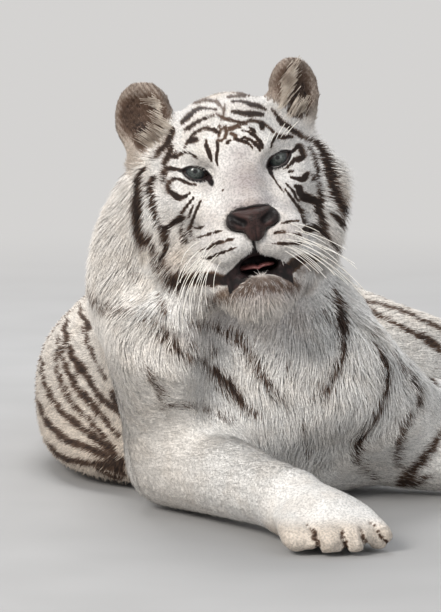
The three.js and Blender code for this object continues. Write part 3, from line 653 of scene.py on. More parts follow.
# %% Strokes of the body
BODY_STROKES = {
    "front": {
        "throat": [(-7, -22.6, .25), (-4, -23.2, .4), (-2, -24, .5), (0, -25.2, .7), (1.5, -26.8, .7),
          (3, -29, .6), (4.5, -31.5, .5), (6, -33.5, .4), (7.5, -35, .3)],
        "shoulder_edge": [(-22, -17, .15), (-21, -19.2, .25), (-19.5, -20.3, .6), (-18, -21.2, .5),
          (-15, -21.8, .25), (-13, -22.8, .4), (-11, -24.2, .5), (-9.5, -25.4, .4), (-8.5, -27, .4),
          (-7, -28.2, .5), (-5, -29, .6), (-3, -30.4, .9), (-1.5, -32, 1.1), (0, -33.8, 1),
          (1.5, -35.2, .6), (3.4, -36.4, .3)],
        "throat_thin": [(-7, -26, .2), (-5, -26.5, .3), (-3, -27.4, .3)],
        "chest_thin": [(7.5, -29, .2), (8.2, -30.8, .25)],
        "chest_line": [(9.5, -37, .15), (10, -40, .3), (10.5, -43, .2)],
        "neck_band": [(13.8, -18, .2), (14.5, -20, .7), (15, -22, .9), (15.2, -24, .8), (15.4, -26, .6),
          (15.2, -28, .4), (14.5, -30, .4), (13.5, -32, .5), (12, -33.2, .4), (10.8, -34, .2)],
        "neck_mark": [(12.6, -21, .2), (13, -23, .2)],
        "arc_near": [(19.5, -24, .2), (20.3, -26, .35), (21, -28, .45), (21.5, -30, .5), (21.6, -32, .55),
          (21.2, -34, .5), (20.3, -36, .5), (19, -37.8, .5), (18, -39.2, .6), (17.3, -40.8, .6),
          (17.5, -42.5, .5), (18.5, -44, .4), (20, -45.5, .3)],
        "arc_middle": [(22, -27, .15), (23.5, -29, .2), (25, -30.8, .3), (26.2, -32.5, .4),
          (26.2, -34.5, .45), (25, -36.3, .4), (24.2, -38, .5), (23.6, -40, .6), (23.2, -42, .5),
          (23.8, -44, .3)],
        "arc_far": [(29.6, -38.6, .5), (28.5, -40.6, .6), (27, -42.7, .7), (25.5, -44.4, .8),
          (24, -46, .9)],
        "elbow_far": [(24, -46, .6), (26, -46.3, .5), (28, -45, .3)],
    },
    "arm": {
        "arm_short": [(-13.4, -29, .2), (-12.5, -30.2, .4), (-11.5, -31.8, .55), (-10.8, -33.3, .4),
          (-10.5, -35, .2)],
        "arm_crease": [(-11, -35.2, .2), (-9, -34.8, .3), (-7, -34.8, .3), (-5.5, -35.2, .3),
          (-4, -35.9, .4), (-2, -36.6, .4), (0, -37.2, .25)],
    },
    "paw": {
        "toe_1": [(10.4, -52.4, .1), (11.3, -53.6, .34), (11.7, -55, .34), (11.8, -57, .3)],
        "toe_2": [(15.2, -53.2, .1), (15.6, -54.4, .3), (15.9, -57, .3)],
        "toe_3": [(18, -53, .1), (18.4, -54.1, .25), (19.1, -56, .25)],
        "toe_4": [(20.2, -53, .1), (20.9, -53.9, .2), (21.9, -55, .2)],
        "toe_crease": [(19.3, -51.9, .1), (20.3, -52.6, .12)],
    },
    "back": {
        "thigh_low": [(16, -19.3, .3), (20, -21.5, .3), (24, -23.6, .3), (27, -25, .5), (30, -27, .6)],
        "thigh_high": [(16.5, -19.3, .2), (21, -20.3, .25), (25, -21.6, .25), (30, -24, .3)],
        "flank_1": [(-22.8, -20, .2), (-22.2, -22, .3), (-21, -23.7, .45)],
        "flank_2": [(-22, -23.5, .2), (-21.3, -26, .3), (-20.3, -28, .3), (-19.5, -29.5, .35),
          (-18.8, -31, .3)],
        "flank_3": [(-24.3, -22.5, .2), (-24.6, -24, .35), (-24.3, -26, .4), (-23.5, -28, .5),
          (-22.3, -29.6, .7), (-21, -31.3, .4), (-20.3, -32.8, .4), (-19, -34.2, .5), (-17.5, -35.2, .5),
          (-16.3, -36.2, .4)],
        "flank_spot": [(-17.8, -33, .5), (-17, -34.5, .6), (-16.3, -34.6, .3)],
        "flank_4": [(-25.6, -25, .2), (-25.2, -27.5, .3), (-24.2, -30, .4), (-23, -32.3, .45),
          (-21.5, -34, .6), (-20, -35.6, .45), (-18.5, -37.5, .35), (-17, -39.5, .3)],
        "flank_5": [(-26, -27, .2), (-25.8, -30, .25), (-24.8, -32.5, .35), (-23.5, -35, .35),
          (-21.5, -36.7, .3), (-19.5, -39, .35), (-17.7, -41, .3)],
        "flank_6": [(-28, -28, .2), (-27.8, -31, .25), (-26.8, -33.5, .35), (-25.3, -35.8, .4),
          (-23.5, -37.3, .5), (-21.5, -38.8, .5), (-19.5, -40.3, .5), (-17.5, -42, .45),
          (-16.2, -43.2, .35)],
        "flank_7": [(-29.3, -29, .2), (-29.3, -32, .3), (-28.6, -34.5, .35), (-27.5, -37, .35),
          (-26, -38.8, .45), (-24, -40.3, .5), (-21.5, -41, .5), (-19, -42.2, .5), (-16.5, -44, .5)],
        "flank_8": [(-27.6, -40, .3), (-26, -42, .45), (-24, -42.9, .45), (-21.5, -43.3, .4),
          (-19.5, -43.4, .5), (-17.5, -44.2, .5), (-16.2, -44.8, .4)],
        "flank_9": [(-20, -44.3, .25), (-18, -45.3, .35), (-16.5, -45.6, .25)],
    },
}
# How dark each group of strokes is at most, and each stroke of the face that isn't black.
STRENGTH = {"front": 0.78, "arm": 0.72, "back": 0.82, "paw": 0.9, "crest_top": 0.5,
            "crest_middle": 0.55, "crest_lower": 0.6, "crest_side": 0.6, "crest_low": 0.65,
            "crest_l": 0.65, "crest_low_l": 0.6, "brow_line_l": 0.85, "bar_top_r": 0.7,
            "bar_top_l": 0.7, "mouth_shade_r": 0.9, "mouth_shade_l": 0.9, "chin_shade": 0.42,
            "jowl_shade_l": 0.36, "ruff_low_shade_r": 0.55, "ruff_edge_shade_r": 0.5,
            "ear_foot": 0.8}
print("strokes of the body:", sum(len(strokes) for strokes in BODY_STROKES.values()))


# %% [markdown]
# ## From a place to its marking
# A chart turns a place on the body into two numbers, and a stroke covers what lies within its
# half width there. Rings follow a line through the body: how far along the line a place lies,
# and how far round it. What can be seen from ahead takes its strokes, and the rest takes rings.

# %% Charts and strokes
FACE_LEAN = (0.105, -0.111)  # how far the face chart shifts with each millimetre back
FRONT_SCALE = 650
FRONT_AT = (1.95, 50.76)


def face_chart(points):
    h = to_head(points)
    return h[:, 0] - FACE_LEAN[0] * h[:, 1], h[:, 2] - FACE_LEAN[1] * h[:, 1]


def front_chart(points):
    """Centimetres right and up of the eyes, as seen by someone standing in front."""
    x, y, z = (points - VIEWPOINT).T
    return FRONT_AT[0] + FRONT_SCALE * x / y, FRONT_AT[1] + FRONT_SCALE * z / y


def facing_front(points, normals):
    """1 where the surface faces someone standing in front, 0 at its outline."""
    return (unit(VIEWPOINT - points) * normals).sum(1)


def soft_spot(u, v, centre, size):
    return np.exp(-((u - centre[0]) / size[0]) ** 2 - ((v - centre[1]) / size[1]) ** 2)


def stroke_cover(u, v, stroke, soft):
    """How far each place of a chart is covered by a stroke with soft edges, 0 to 1."""
    stroke = np.array(stroke, float)
    margin = stroke[:, 2].max() + soft
    near = (u > stroke[:, 0].min() - margin) & (u < stroke[:, 0].max() + margin)
    near &= (v > stroke[:, 1].min() - margin) & (v < stroke[:, 1].max() + margin)
    cover = np.zeros(len(u))
    if not near.any():
        return cover
    x, y = u[near], v[near]
    best = np.full(len(x), 1e9)
    for (ax, ay, aw), (bx, by, bw) in zip(stroke[:-1], stroke[1:]):
        dx, dy = bx - ax, by - ay
        t = np.clip(((x - ax) * dx + (y - ay) * dy) / (dx * dx + dy * dy), 0, 1)
        best = np.minimum(best, np.hypot(x - ax - t * dx, y - ay - t * dy) - aw - t * (bw - aw))
    cover[near] = 1 - step(best, -soft, soft)
    return cover


SOFT_BEND = 0.03


def along_line(points, line):
    """How far along a line of points each place lies, in mm, and its offset from the line.
    Near a bend the pieces of the line share a place between them, so nothing jumps there."""
    distances, places, offsets = [], [], []
    start = 0.0
    for a, b in zip(line[:-1], line[1:]):
        d = b - a
        length = np.linalg.norm(d)
        t = (points - a) @ d / length ** 2
        away = points - a - np.clip(t, 0, 1)[:, None] * d
        distances.append(np.linalg.norm(away, axis=1))
        places.append(start + t * length)
        offsets.append(away)
        start += length
    distances = np.array(distances)
    share = np.exp((distances.min(0) - distances) / SOFT_BEND)
    share /= share.sum(0)
    return (share * places).sum(0) / MM, (share[:, :, None] * offsets).sum(0) / MM


RING_SOFT = 2.5
RINGS = {  # spacing, half width, how far round they reach, slant, and length of the part, in mm
    "trunk": (66, 12.5, 2.5, 24, 2600), "tail": (62, 13, 3.6, 2, 2600),
    "foreleg": (120, 5, 2.2, 14, 900), "hindleg": (64, 8, 2.2, 14, 900),
}


def rings(part, place, offset, seed):
    """Half rings that start at the top (angle 0), run down each side and thin out."""
    spacing, half_width, reach, slant, length = RINGS[part]
    angle = np.arctan2(offset[:, 0], offset[:, 2])
    random = np.random.default_rng(seed)
    cover = np.zeros(len(place))
    for side in (-1, 1):
        start = random.uniform(0, spacing)
        while start < length:
            end = reach * random.uniform(0.7, 1.1)
            width = half_width * random.uniform(0.7, 1.2)
            turn = angle * side
            bow = slant * turn + 0.14 * spacing * np.sin(2.2 * turn + random.uniform(0, 6))
            fade = np.clip(1 - (np.clip(turn, 0, 9) / end) ** 4, 0, 1)
            swell = 0.85 + 0.25 * np.sin(2.6 * turn + random.uniform(0, 6))
            gap = np.abs(place - start - bow) - width * fade * swell
            here = (1 - step(gap, -RING_SOFT, RING_SOFT)) * (turn > -0.12) * (turn < end)
            cover = np.maximum(cover, here)
            start += spacing * random.uniform(0.75, 1.3)
    return cover


print("rings for:", ", ".join(RINGS))


# %% Lines through the body for the rings
def line_of(*names):
    """A smooth line through the middles of some nodes, run on a little past both ends."""
    line = np.array([middle(name) for name in names])
    line = np.vstack([2 * line[0] - line[1], line, 2 * line[-1] - line[-2]])
    for _ in range(3):
        a, b = line[:-1], line[1:]
        inner = np.stack([0.75 * a + 0.25 * b, 0.25 * a + 0.75 * b], 1).reshape(-1, 3)
        line = np.vstack([line[:1], inner, line[-1:]])
    return line


LIMBS = {
    "foreleg_right": ("foreleg_right_upper", "foreleg_right_lower", "forepaw_right"),
    "foreleg_left": ("foreleg_left_upper", "foreleg_left_lower", "forepaw_left"),
    "hindleg_right": ("thigh_right", "shank_right", "hindpaw_right"),
    "hindleg_left": ("thigh_left", "shank_left", "hindpaw_left"),
}
TAIL_NODES = ("tail_base", "tail_middle", "tail_tip")
EAR_NODES = ("ear_left", "ear_right")
TRUNK_LINE = line_of("head", "neck", "ribs", "belly", "hips", "tail_base")
TRUNK_WAY = unit(middle("hips") - middle("neck"))
TAIL_LINE = line_of("hips", *TAIL_NODES)
TAIL_TIP = (110, 80)  # the tail's last millimetres are black from the first to the second
print("lines for the rings:", 2 + len(LIMBS))


# %% [markdown]
# ## The markings
# The darkest thing that reaches a place wins there: a stroke of the face, a stroke of the body or
# a ring. Each kind has its own function, and one more function puts them together.

# %% Markings of the face and ears, with painted shade on the ears
# Where each ear's hollow is darker: its brownish inner skin, and painted shade.
EAR_BOWL_TONE_AND_SHADE = [  # place on the face chart, size, amount
    ((-131, 66), (14, 30), 0.95), ((-138, 96), (22, 32), 0.62), ((-112, 96), (26, 32), 0.50),
    ((105, 84), (17, 30), 0.85), ((98, 60), (18, 14), 0.85), ((98, 104), (28, 30), 0.42)]
SOFT = {"shade": 5.0, "crest": 1.7, "stroke": 0.9}  # width of the strokes' soft edges
EAR_SPOTS = ((-118, 88), (104, 92))
EAR_SPOT_SIZE = (16, 14)


def ear_bowl_tone_and_shade(u, v, facing):
    """1 in the hollow of each ear, on the face chart, where it is darker: its brownish inner skin, and
    painted shade.
    """
    total = np.zeros(len(u))
    for (cu, cv), (ru, rv), amount in EAR_BOWL_TONE_AND_SHADE:
        away = np.hypot((u - cu) / ru, (v - cv) / rv)
        total = np.maximum(total, amount * (1 - step(away, 0.6, 1.15)))
    return total * step(facing, 0.0, 0.3)


def ear_marks(points, normals, facing):
    """Fronts greyed by painted shade and darker in the hollow, and dark backs with one pale spot each."""
    u, v = face_chart(points)
    spot = np.maximum(*[soft_spot(u, v, place, EAR_SPOT_SIZE) for place in EAR_SPOTS])
    back = 0.85 * (1 - step(spot, 0.25, 0.5))
    # The fronts are greyed by painted shade, more so in the hollow.
    front = (0.36 + 0.10 * np.sin(0.9 * u + 0.5 * v)) * step(v, 40, 75)
    front = front + 0.5 * ear_bowl_tone_and_shade(u, v, facing)
    return np.where(normals @ HEAD_Y > 0.15, back, front)


def face_marks(points, owner, facing):
    """The strokes of the face, on the head and the first of the neck."""
    total = np.zeros(len(points))
    u, v = face_chart(points)
    h = to_head(points)
    wobble = 0.7 * np.sin(0.9 * v + 0.4 * u) + 0.5 * np.sin(1.7 * u - 0.6 * v)
    face = owned_by(owner, "neck") & (h[:, 2] > -150) & (h[:, 1] < 130)
    face = (face | owned_by(owner, *HEAD_NODES)) & (facing > -0.1)
    for name, stroke in FACE_STROKES.items():
        soft = SOFT["shade" if "shade" in name else "crest" if "crest" in name else "stroke"]
        cover = stroke_cover(u[face], (v + wobble)[face], stroke, soft)
        total[face] = np.maximum(total[face], STRENGTH.get(name, 1.0) * cover)
    return total * step(facing, -0.1, 0.12)


print("bowls in the ears:", len(EAR_BOWL_TONE_AND_SHADE))


# %% Markings of the body
BODY_SOFT = 0.24
FRONT_END = (29, 31)  # where, towards the animal's left, the front chart gives way to rings
# A painted shadow under the chin, on the throat.
CHIN_SHADOW = ((-1.5, -20.5), (9.5, 3.6), 0.2)  # place on the front chart, size, amount


def body_marks(points, owner, seen):
    """The strokes of the chest, forelegs, flank and toes, where they are seen from ahead, and a painted
    shadow under the chin.
    """
    total = np.zeros(len(points))
    h = to_head(points)
    front_u, front_v = front_chart(points)
    groups = {
        "front": owned_by(owner, "neck", "chest", "ribs", "jaw", "head", "foreleg_right_upper",
                          "foreleg_left_upper", "foreleg_left_lower"),
        "arm": owned_by(owner, "foreleg_right_upper", "foreleg_right_lower", "chest", "neck"),
        "paw": owned_by(owner, "forepaw_right"),
        "back": owned_by(owner, "ribs", "belly", "hips", "thigh_left", "thigh_right", "tail_base"),
    }
    groups["front"] &= ~(owned_by(owner, *HEAD_NODES) & (h[:, 2] > -175))
    wave = 0.12 * np.sin(3.1 * front_v) + 0.08 * np.sin(7.3 * front_v + 2)
    for group, strokes in BODY_STROKES.items():
        rows = groups[group] & (seen > 0)
        u, v = (front_u + wave)[rows], front_v[rows]
        for stroke in strokes.values():
            cover = STRENGTH[group] * stroke_cover(u, v, stroke, BODY_SOFT)
            total[rows] = np.maximum(total[rows], cover * seen[rows])
    place, size, amount = CHIN_SHADOW
    chin_shadow = soft_spot(front_u, front_v, place, size) * (h[:, 2] < -165)
    chin_shadow *= owned_by(owner, "neck", "chest", "jaw", "head")
    return np.maximum(total, amount * chin_shadow * seen)


def ring_marks(points, owner, seen):
    """Rings round the trunk, tail and legs, where the strokes don't reach."""
    hidden = 1 - seen
    _, offset = along_line(points, TRUNK_LINE)
    place = (points - TRUNK_LINE[0]) @ TRUNK_WAY / MM
    trunk = owned_by(owner, "neck", "chest", "ribs", "belly", "hips")
    trunk |= owned_by(owner, *HEAD_NODES) & (to_head(points)[:, 1] > 40)
    total = rings("trunk", place, offset, 5) * hidden * trunk
    place, offset = along_line(points, TAIL_LINE)
    on_tail = owned_by(owner, *TAIL_NODES)
    end = place[on_tail].max() if on_tail.any() else 1
    tip = step(place, end - TAIL_TIP[0], end - TAIL_TIP[1])
    total = np.maximum(total, np.maximum(rings("tail", place, offset, 11), tip) * on_tail)
    front_u, _ = front_chart(points)
    for seed, (limb, names) in enumerate(LIMBS.items()):
        rows = owned_by(owner, *names[:2])
        if not rows.any():
            continue
        part = limb.split("_")[0]
        place, offset = along_line(points[rows], line_of(*names))
        amount = hidden[rows]
        if part == "hindleg":
            amount = np.maximum(amount, front_u[rows] > FRONT_END[0])
            amount = np.maximum(amount, owned_by(owner, names[1])[rows])
        total[rows] = np.maximum(total[rows], rings(part, place, offset, 20 + seed) * amount)
    return total


def marks(points, normals, owner):
    """How dark the marking and the painted shade are at each place, from 0 to 1."""
    facing = facing_front(points, normals)
    front_u, _ = front_chart(points)
    seen = step(facing, 0.02, 0.22) * (1 - step(front_u, *FRONT_END))
    total = np.maximum(face_marks(points, owner, facing), body_marks(points, owner, seen))
    total = np.maximum(total, ring_marks(points, owner, seen))
    return np.where(owned_by(owner, *EAR_NODES), ear_marks(points, normals, facing), total)


print("groups of strokes on the body:", ", ".join(BODY_STROKES))


# %% [markdown]
# ## Slits between the toes
# The toes of the paw that reaches forward are parted by narrow slits, so the skin is pressed in
# along the same strokes that darken them. The other paws get the same slits from their own
# length and width.

# %% Part the toes
TOE_SLIT = 0.009  # depth in metres
TOE_SOFT = 0.45
SLIT_WIDTH = 0.004
SLIT_PLACES = (-0.45, 0.0, 0.45)  # across a paw, in shares of its half width


def toe_slits(points, owner):
    """1 in the slits between the toes of the paws, falling to 0 at their sides."""
    total = np.zeros(len(points))
    for _, leg, paw in LIMBS.values():
        here = owned_by(owner, paw)
        if paw == "forepaw_right":
            u, v = front_chart(points[here])
            strokes = BODY_STROKES["paw"].values()
            total[here] = np.max([stroke_cover(u, v, stroke, TOE_SOFT) for stroke in strokes], axis=0)
            continue
        ahead = unit((middle(paw) - middle(leg)) * [1, 1, 0])
        beside = np.array([-ahead[1], ahead[0], 0])
        along, across = ((points[here] - middle(paw)) @ np.stack([ahead, beside], 1)).T
        reach, half = along.max(), np.abs(across).max()
        slits = [np.exp(-((across - share * half) / SLIT_WIDTH) ** 2) for share in SLIT_PLACES]
        total[here] = np.max(slits, axis=0) * step(along, 0.25 * reach, 0.6 * reach)
    return total


skin_owner = owners_of(skin)
pressed = toe_slits(skin, skin_owner)
skin = skin - TOE_SLIT * pressed[:, None] * skin_normals
skin_normals = vertex_normals(skin, skin_faces)
print("toes parted on", int((pressed > 0.3).sum()), "points")


# %% [markdown]
# ## Tints and bare skin
# White hair is cream in places and grey in others, as soft spots on the face and broad fields on
# the body. Some of this is painted light: grey shade over the middle of the face, on the chin, down
# the throat and on the ears, and warm sunlight on the right shoulder and foreleg. The lips and the
# rims of the eyes are bare and dark.

# %% Tints: cream and grey
TINTS = {  # place on the face chart, size, amount
    "warm": [((-38, 108), (52, 9), 0.8), ((20, 106), (40, 7), 0.5), ((5, -192), (62, 26), 0.45),
             ((-48, -181), (12, 8), 1.0), ((50, -184), (12, 10), 0.7), ((-150, -98), (20, 16), 0.5),
             ((-104, -118), (24, 22), 0.55), ((112, -128), (20, 30), 0.35),
             ((137, -70), (7, 40), 0.6), ((-150, 60), (22, 50), 0.7), ((-100, 55), (12, 14), 0.4),
             ((118, 50), (16, 20), 0.6)],
    # Grey spots: the lilac grey of the bridge and the speckle of the pads; the two lowest, on the chin,
    # are painted shade.
    "grey": [((-48, -104), (30, 26), 0.6), ((56, -106), (34, 26), 0.7), ((12, -26), (40, 44), 1.0),
             ((8, 12), (26, 18), 0.8), ((12, -58), (46, 16), 1.0), ((-46, -24), (14, 14), 0.6),
             ((60, -70), (18, 26), 0.5), ((-48, -70), (26, 26), 0.5), ((20, -185), (60, 20), 0.9),
             ((-55, -185), (12, 8), 0.4)],
}
BODY_CREAM = 0.3  # how cream the top of the trunk is at most


def face_tint(points, tint):
    """The strongest soft spot of that tint on the face chart."""
    u, v = face_chart(points)
    return np.max([amount * soft_spot(u, v, *spot) for *spot, amount in TINTS[tint]], axis=0)


def tints(points, normals, owner):
    """How cream and how grey the hair is at each place, each from 0 to 1; part of the grey is painted
    shade and part of the cream is painted sunlight.
    """
    u, _ = face_chart(points)
    front_u, front_v = front_chart(points)
    facing = step(facing_front(points, normals), -0.1, 0.2)
    face = facing * owned_by(owner, *HEAD_NODES)
    warm, grey = face_tint(points, "warm") * face, face_tint(points, "grey") * face
    # Painted shade: a light grey over the middle of the face.
    grey = np.maximum(grey, 0.2 * face * step(-np.abs(u), -140, -100))
    # Painted shadow of the head: grey down the middle of the throat.
    throat = owned_by(owner, "neck", "chest") * step(front_v, -30, -21) * step(facing, 0.2, 0.8)
    grey = np.maximum(grey, 0.55 * throat * step(-np.abs(front_u - 1), -13, -7))
    trunk = owned_by(owner, "ribs", "belly", "hips", "thigh_right", "thigh_left")
    right_flank = trunk * step(-front_u, 12, 16)
    warm = np.maximum(warm, right_flank * (0.38 + 0.30 * step(-front_v, 26, 42)))
    warm = np.maximum(warm, BODY_CREAM * trunk * step(normals[:, 2], 0.2, 0.9))
    # Painted warm sunlight on the animal's right neck, chest and foreleg.
    sunny = owned_by(owner, "neck", "chest", "foreleg_right_upper", "foreleg_right_lower")
    warm = np.maximum(warm, 0.2 * sunny * step(-front_u, 3, 9))
    paws = owned_by(owner, *[names[2] for names in LIMBS.values()])
    toes = paws * 0.8 * step(0.066 - points[:, 2], 0, 0.025) * step(0.03 - normals[:, 1], 0, 0.5)
    reaching = owned_by(owner, "forepaw_right")
    toes = np.where(reaching, 0.62 * step(-front_v, 50.6, 53.6) * facing, toes)
    # The ears take a cream tint, and a grey one all over that is painted shade.
    ears = owned_by(owner, *EAR_NODES)
    return np.where(ears, 0.8, np.maximum(warm, toes)), np.where(ears, 0.35, grey)


print("soft spots of tint:", {tint: len(spots) for tint, spots in TINTS.items()})


# %% Bare skin: lips and rims of the eyes
LIP_TOP = [(-56, -165), (-48, -159), (-38, -151), (-28, -145), (-20, -139), (-10, -131), (0, -125),
           (8, -119), (12, -126), (20, -133), (30, -140), (38, -146), (46, -150), (54, -155),
           (62, -162)]
LIP_BOTTOM = [(-56, -165), (-45, -168), (-38, -169), (-25, -166), (-10, -162), (0, -160),
              (20, -162), (40, -166), (50, -168), (58, -166), (62, -163)]


MOUTH_MIDDLE = 3


def line_at(line, u):
    return np.interp(u, *np.transpose(line))


def lip_share(points):
    """1 on the bare dark skin of the lips and the mouth."""
    h = to_head(points)
    u, v = face_chart(points)
    upper, lower = line_at(LIP_TOP, u), line_at(LIP_BOTTOM, u)
    inside = step(upper - v, -1.5, 1.5) * step(v - lower, -2, 2)
    width = 1 - step(np.abs(u - MOUTH_MIDDLE), 50, 58)
    groove = (1 - step(np.abs(u - 8), 1.6, 4.0)) * step(-v, 100, 106) * step(v, -130, -126)
    front = (h[:, 1] < -40) & (h[:, 2] > -185)
    # Inside the mouth the bare skin is an arched band below the palate.
    arch = h[:, 2] + 126 + 25 * (h[:, 0] / 47) ** 2
    behind = (arch < 3) & (arch > -24) & (np.abs(h[:, 0]) < 47)
    behind &= (h[:, 1] > -106) & (h[:, 1] < -12)
    return np.maximum(np.maximum(inside * width, groove) * front, behind)


def rim_share(points):
    """1 on the black skin round each eye and at its inner corner."""
    h = to_head(points)
    total = np.zeros(len(points))
    for side in (-1, 1):
        ring = 1 - step(slit(h, side), 2.6, 4.0)
        x = (h[:, 0] * side - EYE_HALF)
        corner = np.hypot((x + 16.5) / 4.2, (h[:, 2] + 12.5) / 7.5)
        tail = np.hypot((x - 20) / 6, (h[:, 2] - 6.5) / 2.6)
        here = np.maximum(ring, np.maximum(1 - step(corner, 0.8, 1.15), 1 - step(tail, 0.8, 1.2)))
        total = np.maximum(total, here * (np.abs(x) < 34))
    return total * (h[:, 1] < 30)


print("bare skin: lips from", LIP_TOP[0][0], "to", LIP_TOP[-1][0], "mm and two rims")


# %% [markdown]
# ## Colours of the coat
# One node group turns the coat's marks and tints into colour, and skin and tufts both use it, so
# that a stripe runs on from one to the other. Its inputs are masks between 0 and 1. Two more
# groups give speckles of two colours and fine relief. The shader itself stays in each material.

# %% Shader groups
WHITE_HAIR = (0.93, 0.90, 0.855, 1)
CREAM_HAIR = (0.66, 0.53, 0.40, 1)
GREY_HAIR = (0.46, 0.405, 0.39, 1)
BROWN_HAIR = (0.105, 0.063, 0.042, 1)
BLACK_HAIR = (0.022, 0.014, 0.011, 1)


def add(tree, kind, **values):
    node = tree.nodes.new(kind)
    for key, value in values.items():
        setattr(node, key, value)
    return node


def feed(tree, socket, value):
    """Links a socket to another one, or gives it a plain value."""
    if isinstance(value, bpy.types.NodeSocket):
        tree.links.new(value, socket)
    else:
        socket.default_value = value


def mixed(tree, share, first, second):
    """A colour mix; each of share, first and second is a socket or a plain value."""
    node = add(tree, "ShaderNodeMix", data_type="RGBA")
    for index, value in ((0, share), (6, first), (7, second)):
        feed(tree, node.inputs[index], value)
    return node.outputs[2]


def math_node(tree, operation, first, second):
    node = add(tree, "ShaderNodeMath", operation=operation)
    feed(tree, node.inputs[0], first)
    feed(tree, node.inputs[1], second)
    return node.outputs[0]


def mapped(tree, value, low, high, to_low=0.0, to_high=1.0):
    node = add(tree, "ShaderNodeMapRange", interpolation_type="SMOOTHSTEP")
    for index, number in enumerate((value, low, high, to_low, to_high)):
        feed(tree, node.inputs[index], number)
    return node.outputs[0]


def noise(tree, scale, detail=2.0):
    node = add(tree, "ShaderNodeTexNoise")
    tree.links.new(add(tree, "ShaderNodeTexCoord").outputs["Object"], node.inputs["Vector"])
    feed(tree, node.inputs["Scale"], scale)
    feed(tree, node.inputs["Detail"], detail)
    return node.outputs["Fac"]


NUMBER, COLOUR = "NodeSocketFloat", "NodeSocketColor"


def new_group(name, inputs, output, kind):
    """A shader group; inputs gives each number or colour a name and the value it has by itself."""
    group = bpy.data.node_groups.new(name, "ShaderNodeTree")
    for label, value in inputs.items():
        kind_in = COLOUR if isinstance(value, tuple) else NUMBER
        socket = group.interface.new_socket(label, in_out="INPUT", socket_type=kind_in)
        socket.default_value = value
    group.interface.new_socket(output, in_out="OUTPUT", socket_type=kind)
    return group, add(group, "NodeGroupInput").outputs, add(group, "NodeGroupOutput").inputs[output]


def speckle_group():
    """Two colours in soft speckles."""
    inputs = {"First": BLACK_HAIR, "Second": WHITE_HAIR, "Scale": 100.0, "Detail": 2.0,
              "Low": 0.35, "High": 0.65}
    group, given, result = new_group("speckle", inputs, "Color", COLOUR)
    grains = noise(group, given["Scale"], given["Detail"])
    share = mapped(group, grains, given["Low"], given["High"])
    group.links.new(mixed(group, share, given["First"], given["Second"]), result)
    return group


def coat_colour_group():
    inputs = {"Mark": 0.0, "Warm": 0.0, "Grey": 0.0, "Along": 0.5, "Tone": 0.5}
    group, given, result = new_group("coat colour", inputs, "Color", COLOUR)
    pale = mixed(group, given["Warm"], WHITE_HAIR, CREAM_HAIR)
    pale = mixed(group, given["Grey"], pale, GREY_HAIR)
    patchy = mapped(group, noise(group, 26.0, 3.0), 0.42, 0.66, 0.0, 0.16)
    pale = mixed(group, patchy, pale, CREAM_HAIR)
    dusty = mapped(group, noise(group, 520.0, 3.0), 0.52, 0.68, 0.0, 0.42)
    pale = mixed(group, math_node(group, "MULTIPLY", dusty, given["Warm"]), pale, BROWN_HAIR)
    # Light and dark: by tuft and in fine flecks; and darker at the roots, which is painted shade deep in
    # the coat.
    tone = mapped(group, given["Tone"], 0.0, 1.0, 0.74, 1.10)
    fleck = mapped(group, noise(group, 330.0, 3.0), 0.36, 0.60, 0.74, 1.07)
    root = mapped(group, given["Along"], 0.0, 0.7, 0.80, 1.0)
    level = math_node(group, "MULTIPLY", math_node(group, "MULTIPLY", tone, fleck), root)
    lit = add(group, "ShaderNodeVectorMath", operation="SCALE")
    group.links.new(pale, lit.inputs[0])
    group.links.new(level, lit.inputs["Scale"])
    brown = mapped(group, given["Mark"], 0.12, 0.55)
    black = mapped(group, given["Mark"], 0.45, 0.95)
    colour = mixed(group, brown, lit.outputs[0], BROWN_HAIR)
    group.links.new(mixed(group, black, colour, BLACK_HAIR), result)
    return group


def grain_group():
    """Fine relief of hairs, pores or wrinkles: a height from two sizes of noise."""
    inputs = {"Fine": 900.0, "Coarse": 160.0, "Share": 0.5}
    group, given, result = new_group("grain", inputs, "Height", NUMBER)
    blend = add(group, "ShaderNodeMix", data_type="FLOAT")
    group.links.new(given["Share"], blend.inputs[0])
    group.links.new(noise(group, given["Fine"], 3.0), blend.inputs[2])
    group.links.new(noise(group, given["Coarse"], 3.0), blend.inputs[3])
    group.links.new(blend.outputs[0], result)
    return group


SPECKLE = speckle_group()
COAT_COLOUR = coat_colour_group()
GRAIN = grain_group()
print("shader groups:", ", ".join(group.name for group in (SPECKLE, COAT_COLOUR, GRAIN)))


# %% Material helpers
def new_material(name, roughness, **plain):
    """A material with plain values on its shader; an underscore stands for a space."""
    material = bpy.data.materials.new(name)
    material.use_nodes = True
    shader = material.node_tree.nodes["Principled BSDF"]
    shader.inputs["Roughness"].default_value = roughness
    for key, value in plain.items():
        shader.inputs[key.replace("_", " ")].default_value = value
    return material, material.node_tree, shader


def attribute(tree, name):
    return add(tree, "ShaderNodeAttribute", attribute_name=name).outputs["Fac"]


def used(tree, group, values):
    """Puts a group in a material, with a value or a link for each input that is named."""
    node = add(tree, "ShaderNodeGroup", node_tree=group)
    for label, value in values.items():
        feed(tree, node.inputs[label], value)
    return node.outputs[0]


def coat_colour(tree, along):
    values = {name.title(): attribute(tree, name) for name in ("mark", "warm", "grey", "tone")}
    return used(tree, COAT_COLOUR, values | {"Along": along})


def speckled(tree, first, second, scale, low=0.35, high=0.65, detail=2.0):
    return used(tree, SPECKLE, {"First": (*first, 1), "Second": (*second, 1), "Scale": scale,
                                "Low": low, "High": high, "Detail": detail})


def speckled_material(name, roughness, speckles, **plain):
    """A material whose colour is speckles; these are the values that speckled takes."""
    material, tree, shader = new_material(name, roughness, **plain)
    tree.links.new(speckled(tree, *speckles), shader.inputs["Base Color"])
    return material, tree, shader


